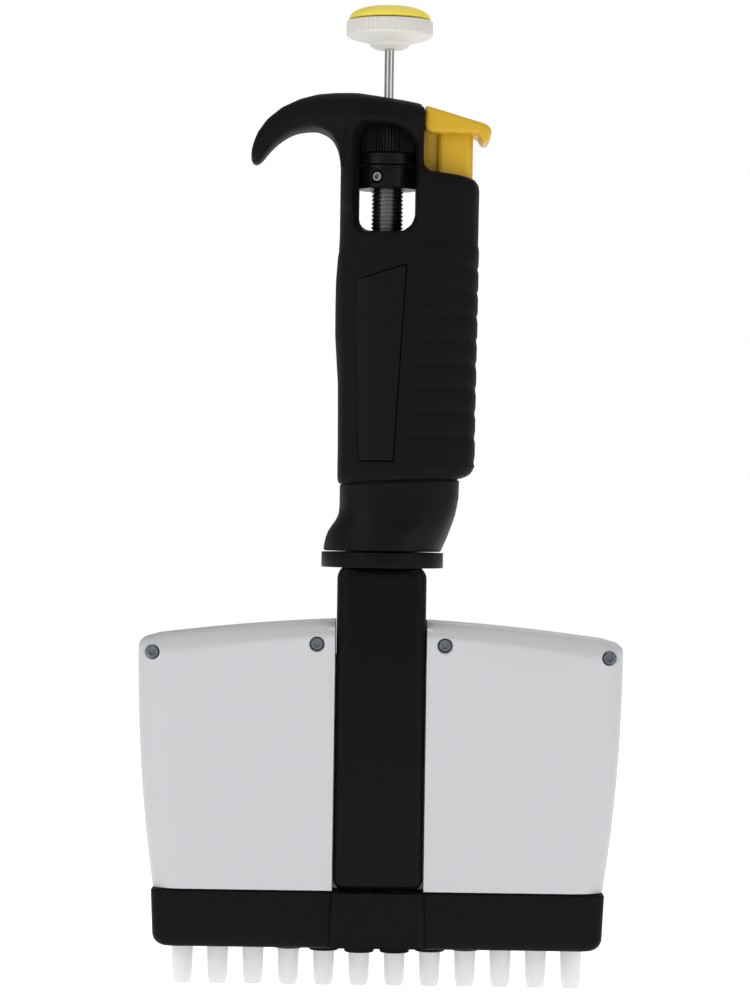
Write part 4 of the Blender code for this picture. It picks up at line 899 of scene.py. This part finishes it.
# ------------------------------------------------------------------ tip ejector button
# The amber thumb button on the handle's shoulder, one moulding: a flat cap with soft corners and
# a turned-down nose, a rounded stem that slides in the handle, and a recessed web beside the post.
amber = plastic("ejector_plastic", (0.68, 0.41, 0.014), 0.42, 0.08, 1600.0, 0.15, 0.08, 0.5)
CAP = [(9.2, 223.7), (9.2, 218.6), (9.7, 217.3), (11.2, 216.65), (14.0, 216.6), (21.9, 216.6),
       (22.9, 216.1), (23.5, 215.1), (24.1, 214.5), (25.0, 214.5), (25.7, 215.3), (26.05, 216.8),
       (25.9, 217.9), (25.2, 218.8), (23.8, 219.4)]
ejector = upright("ejector_button_skin", CAP, -8.0 * MM, 8.0 * MM)
round_edges(ejector, 1.1 * MM, 60.0, 5)
shape_with(ejector, boxed(
    "stem", (12.42 * MM, -4.85 * MM, 190.05 * MM), (21.55 * MM, 4.85 * MM, 218.0 * MM), 1.9 * MM, True), "UNION")
shape_with(ejector, boxed("web", (9.2 * MM, -2.95 * MM, 204.0 * MM), (13.4 * MM, 2.95 * MM, 218.0 * MM)), "UNION")
round_edges(ejector, 0.25 * MM, 50.0, 3)
done(ejector, "ejector", amber, "ejector_plastic", "ejector_button", angle=32.0)

# ------------------------------------------------------------------ volume counter
# Three white number rings behind a small clear lens on the back of the handle. Each ring is a
# turned acetal band with black printed digits around it.
ring_plastic = plastic("ring_plastic", (0.80, 0.80, 0.78), 0.45, 0.04, 1500.0, 0.08, 0.06, 0.5)
digit_ink = plastic("digit_ink", (0.012, 0.012, 0.013), 0.55, 0.1, 1500.0, 0.05, 0.05, 0.3)
for body, node, base in (
        ("counter_drive", "units_ring", 175.1), ("tens_counter", "tens_ring", 170.1),
        ("hundreds_counter", "hundreds_ring", 165.1)):
    low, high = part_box(node)
    ring_low = base * MM
    bore = 6.0 * MM
    profile = [(bore, ring_low), (9.1 * MM, ring_low), (9.28 * MM, ring_low + 0.2 * MM),
               (9.28 * MM, ring_low + 4.3 * MM), (9.1 * MM, ring_low + 4.5 * MM), (bore, ring_low + 4.5 * MM)]
    if node == "units_ring":
        profile = [(4.4 * MM, low[2]), (5.6 * MM, low[2]), (5.6 * MM, ring_low)] + profile[1:-1]
        profile.append((4.4 * MM, ring_low + 4.5 * MM))
    ring = turned(node + "_skin", profile, 96, joined=True)
    done(ring, body, ring_plastic, "ring_plastic", node, angle=30.0)
    for k in range(10):
        bpy.ops.object.select_all(action="DESELECT")
        bpy.ops.object.text_add()
        digit = bpy.context.object
        digit.name = "digit"
        digit.data.body = str(k)
        digit.data.size = 4.4 * MM
        digit.data.resolution_u = 3
        digit.data.align_x = "CENTER"
        digit.data.align_y = "CENTER"
        digit.data.extrude = 0.02 * MM
        bpy.ops.object.convert(target="MESH")
        digit = bpy.context.object
        lay = Matrix.Rotation(math.radians(36.0 * k), 4, "Z") @ Matrix.Translation(
            (0.0, 9.29 * MM, ring_low + 2.25 * MM)) @ Matrix.Rotation(math.pi, 4, "Z") @ Matrix.Rotation(
            math.pi / 2, 4, "X")
        digit.matrix_world = lay
        bpy.ops.object.transform_apply(location=True, rotation=True, scale=True)
        for vertex in digit.data.vertices:
            across = Vector((vertex.co.x, vertex.co.y))
            across = across.normalized() * (9.295 * MM if across.length > 9.28 * MM else 9.27 * MM)
            vertex.co.x, vertex.co.y = across
        done(digit, body, digit_ink, "ring_plastic", angle=40.0)

# The lens is a clear polycarbonate plate let into the back of the handle, polished on both faces.
clear = bpy.data.materials.new("lens_clear")
clear.use_nodes = True
nodes = clear.node_tree.nodes
links = clear.node_tree.links
shader = nodes["Principled BSDF"]
shader.inputs["Transmission Weight"].default_value = 1.0
shader.inputs["IOR"].default_value = 1.45
surface = nodes.new("ShaderNodeGroup")
surface.node_tree = moulded
surface.inputs["Colour"].default_value = (0.94, 0.96, 0.96, 1.0)
surface.inputs["Tone change"].default_value = 0.04
surface.inputs["Grain scale"].default_value = 400.0
surface.inputs["Grain depth"].default_value = 0.03
surface.inputs["Roughness"].default_value = 0.05
surface.inputs["Polish change"].default_value = 0.05
links.new(surface.outputs["Colour"], shader.inputs["Base Color"])
links.new(surface.outputs["Roughness"], shader.inputs["Roughness"])
links.new(surface.outputs["Normal"], shader.inputs["Normal"])
low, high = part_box("counter_lens")
lens = boxed("counter_lens_skin", low, high, 0.22 * MM)
done(lens, "handle", clear, "lens", "counter_lens", angle=35.0)

# ------------------------------------------------------------------ works inside
# The parts inside keep their engineering shapes: drawn steel springs and rods, a brass nut, and
# black moulded frames, seen only at the window, the seams and the ejector's slots.
spring_steel = metal("spring_steel", (0.50, 0.50, 0.49), 0.32, 0.2, 9000.0, 0.3, 0.12)
brass = metal("brass_metal", (0.62, 0.45, 0.17), 0.30, 0.25, 8000.0, 0.4, 0.12)
frame_plastic = plastic("frame_plastic", (0.012, 0.013, 0.013), 0.5, 0.2, 2000.0, 0.2, 0.1, 0.3)
LOOKS = [
    (spring_steel, ("plunger_spring", "blowout_spring", "ejector_spring", "ejector_rod", "stop_ring",
                    "guide_rod_left", "guide_rod_right", "push_rod", "spring_seat")),
    (brass, ("spindle_nut", "swivel_nut")),
    (frame_plastic, ("base_plate", "neck_frame", "crossbar")),
    (rod_steel, tuple("piston_%02d" % (i + 1) for i in range(12))),
]
for look, names in LOOKS:
    for name in names:
        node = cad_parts[name]
        for place in node.material_slots:
            place.link = "OBJECT"
            place.material = look
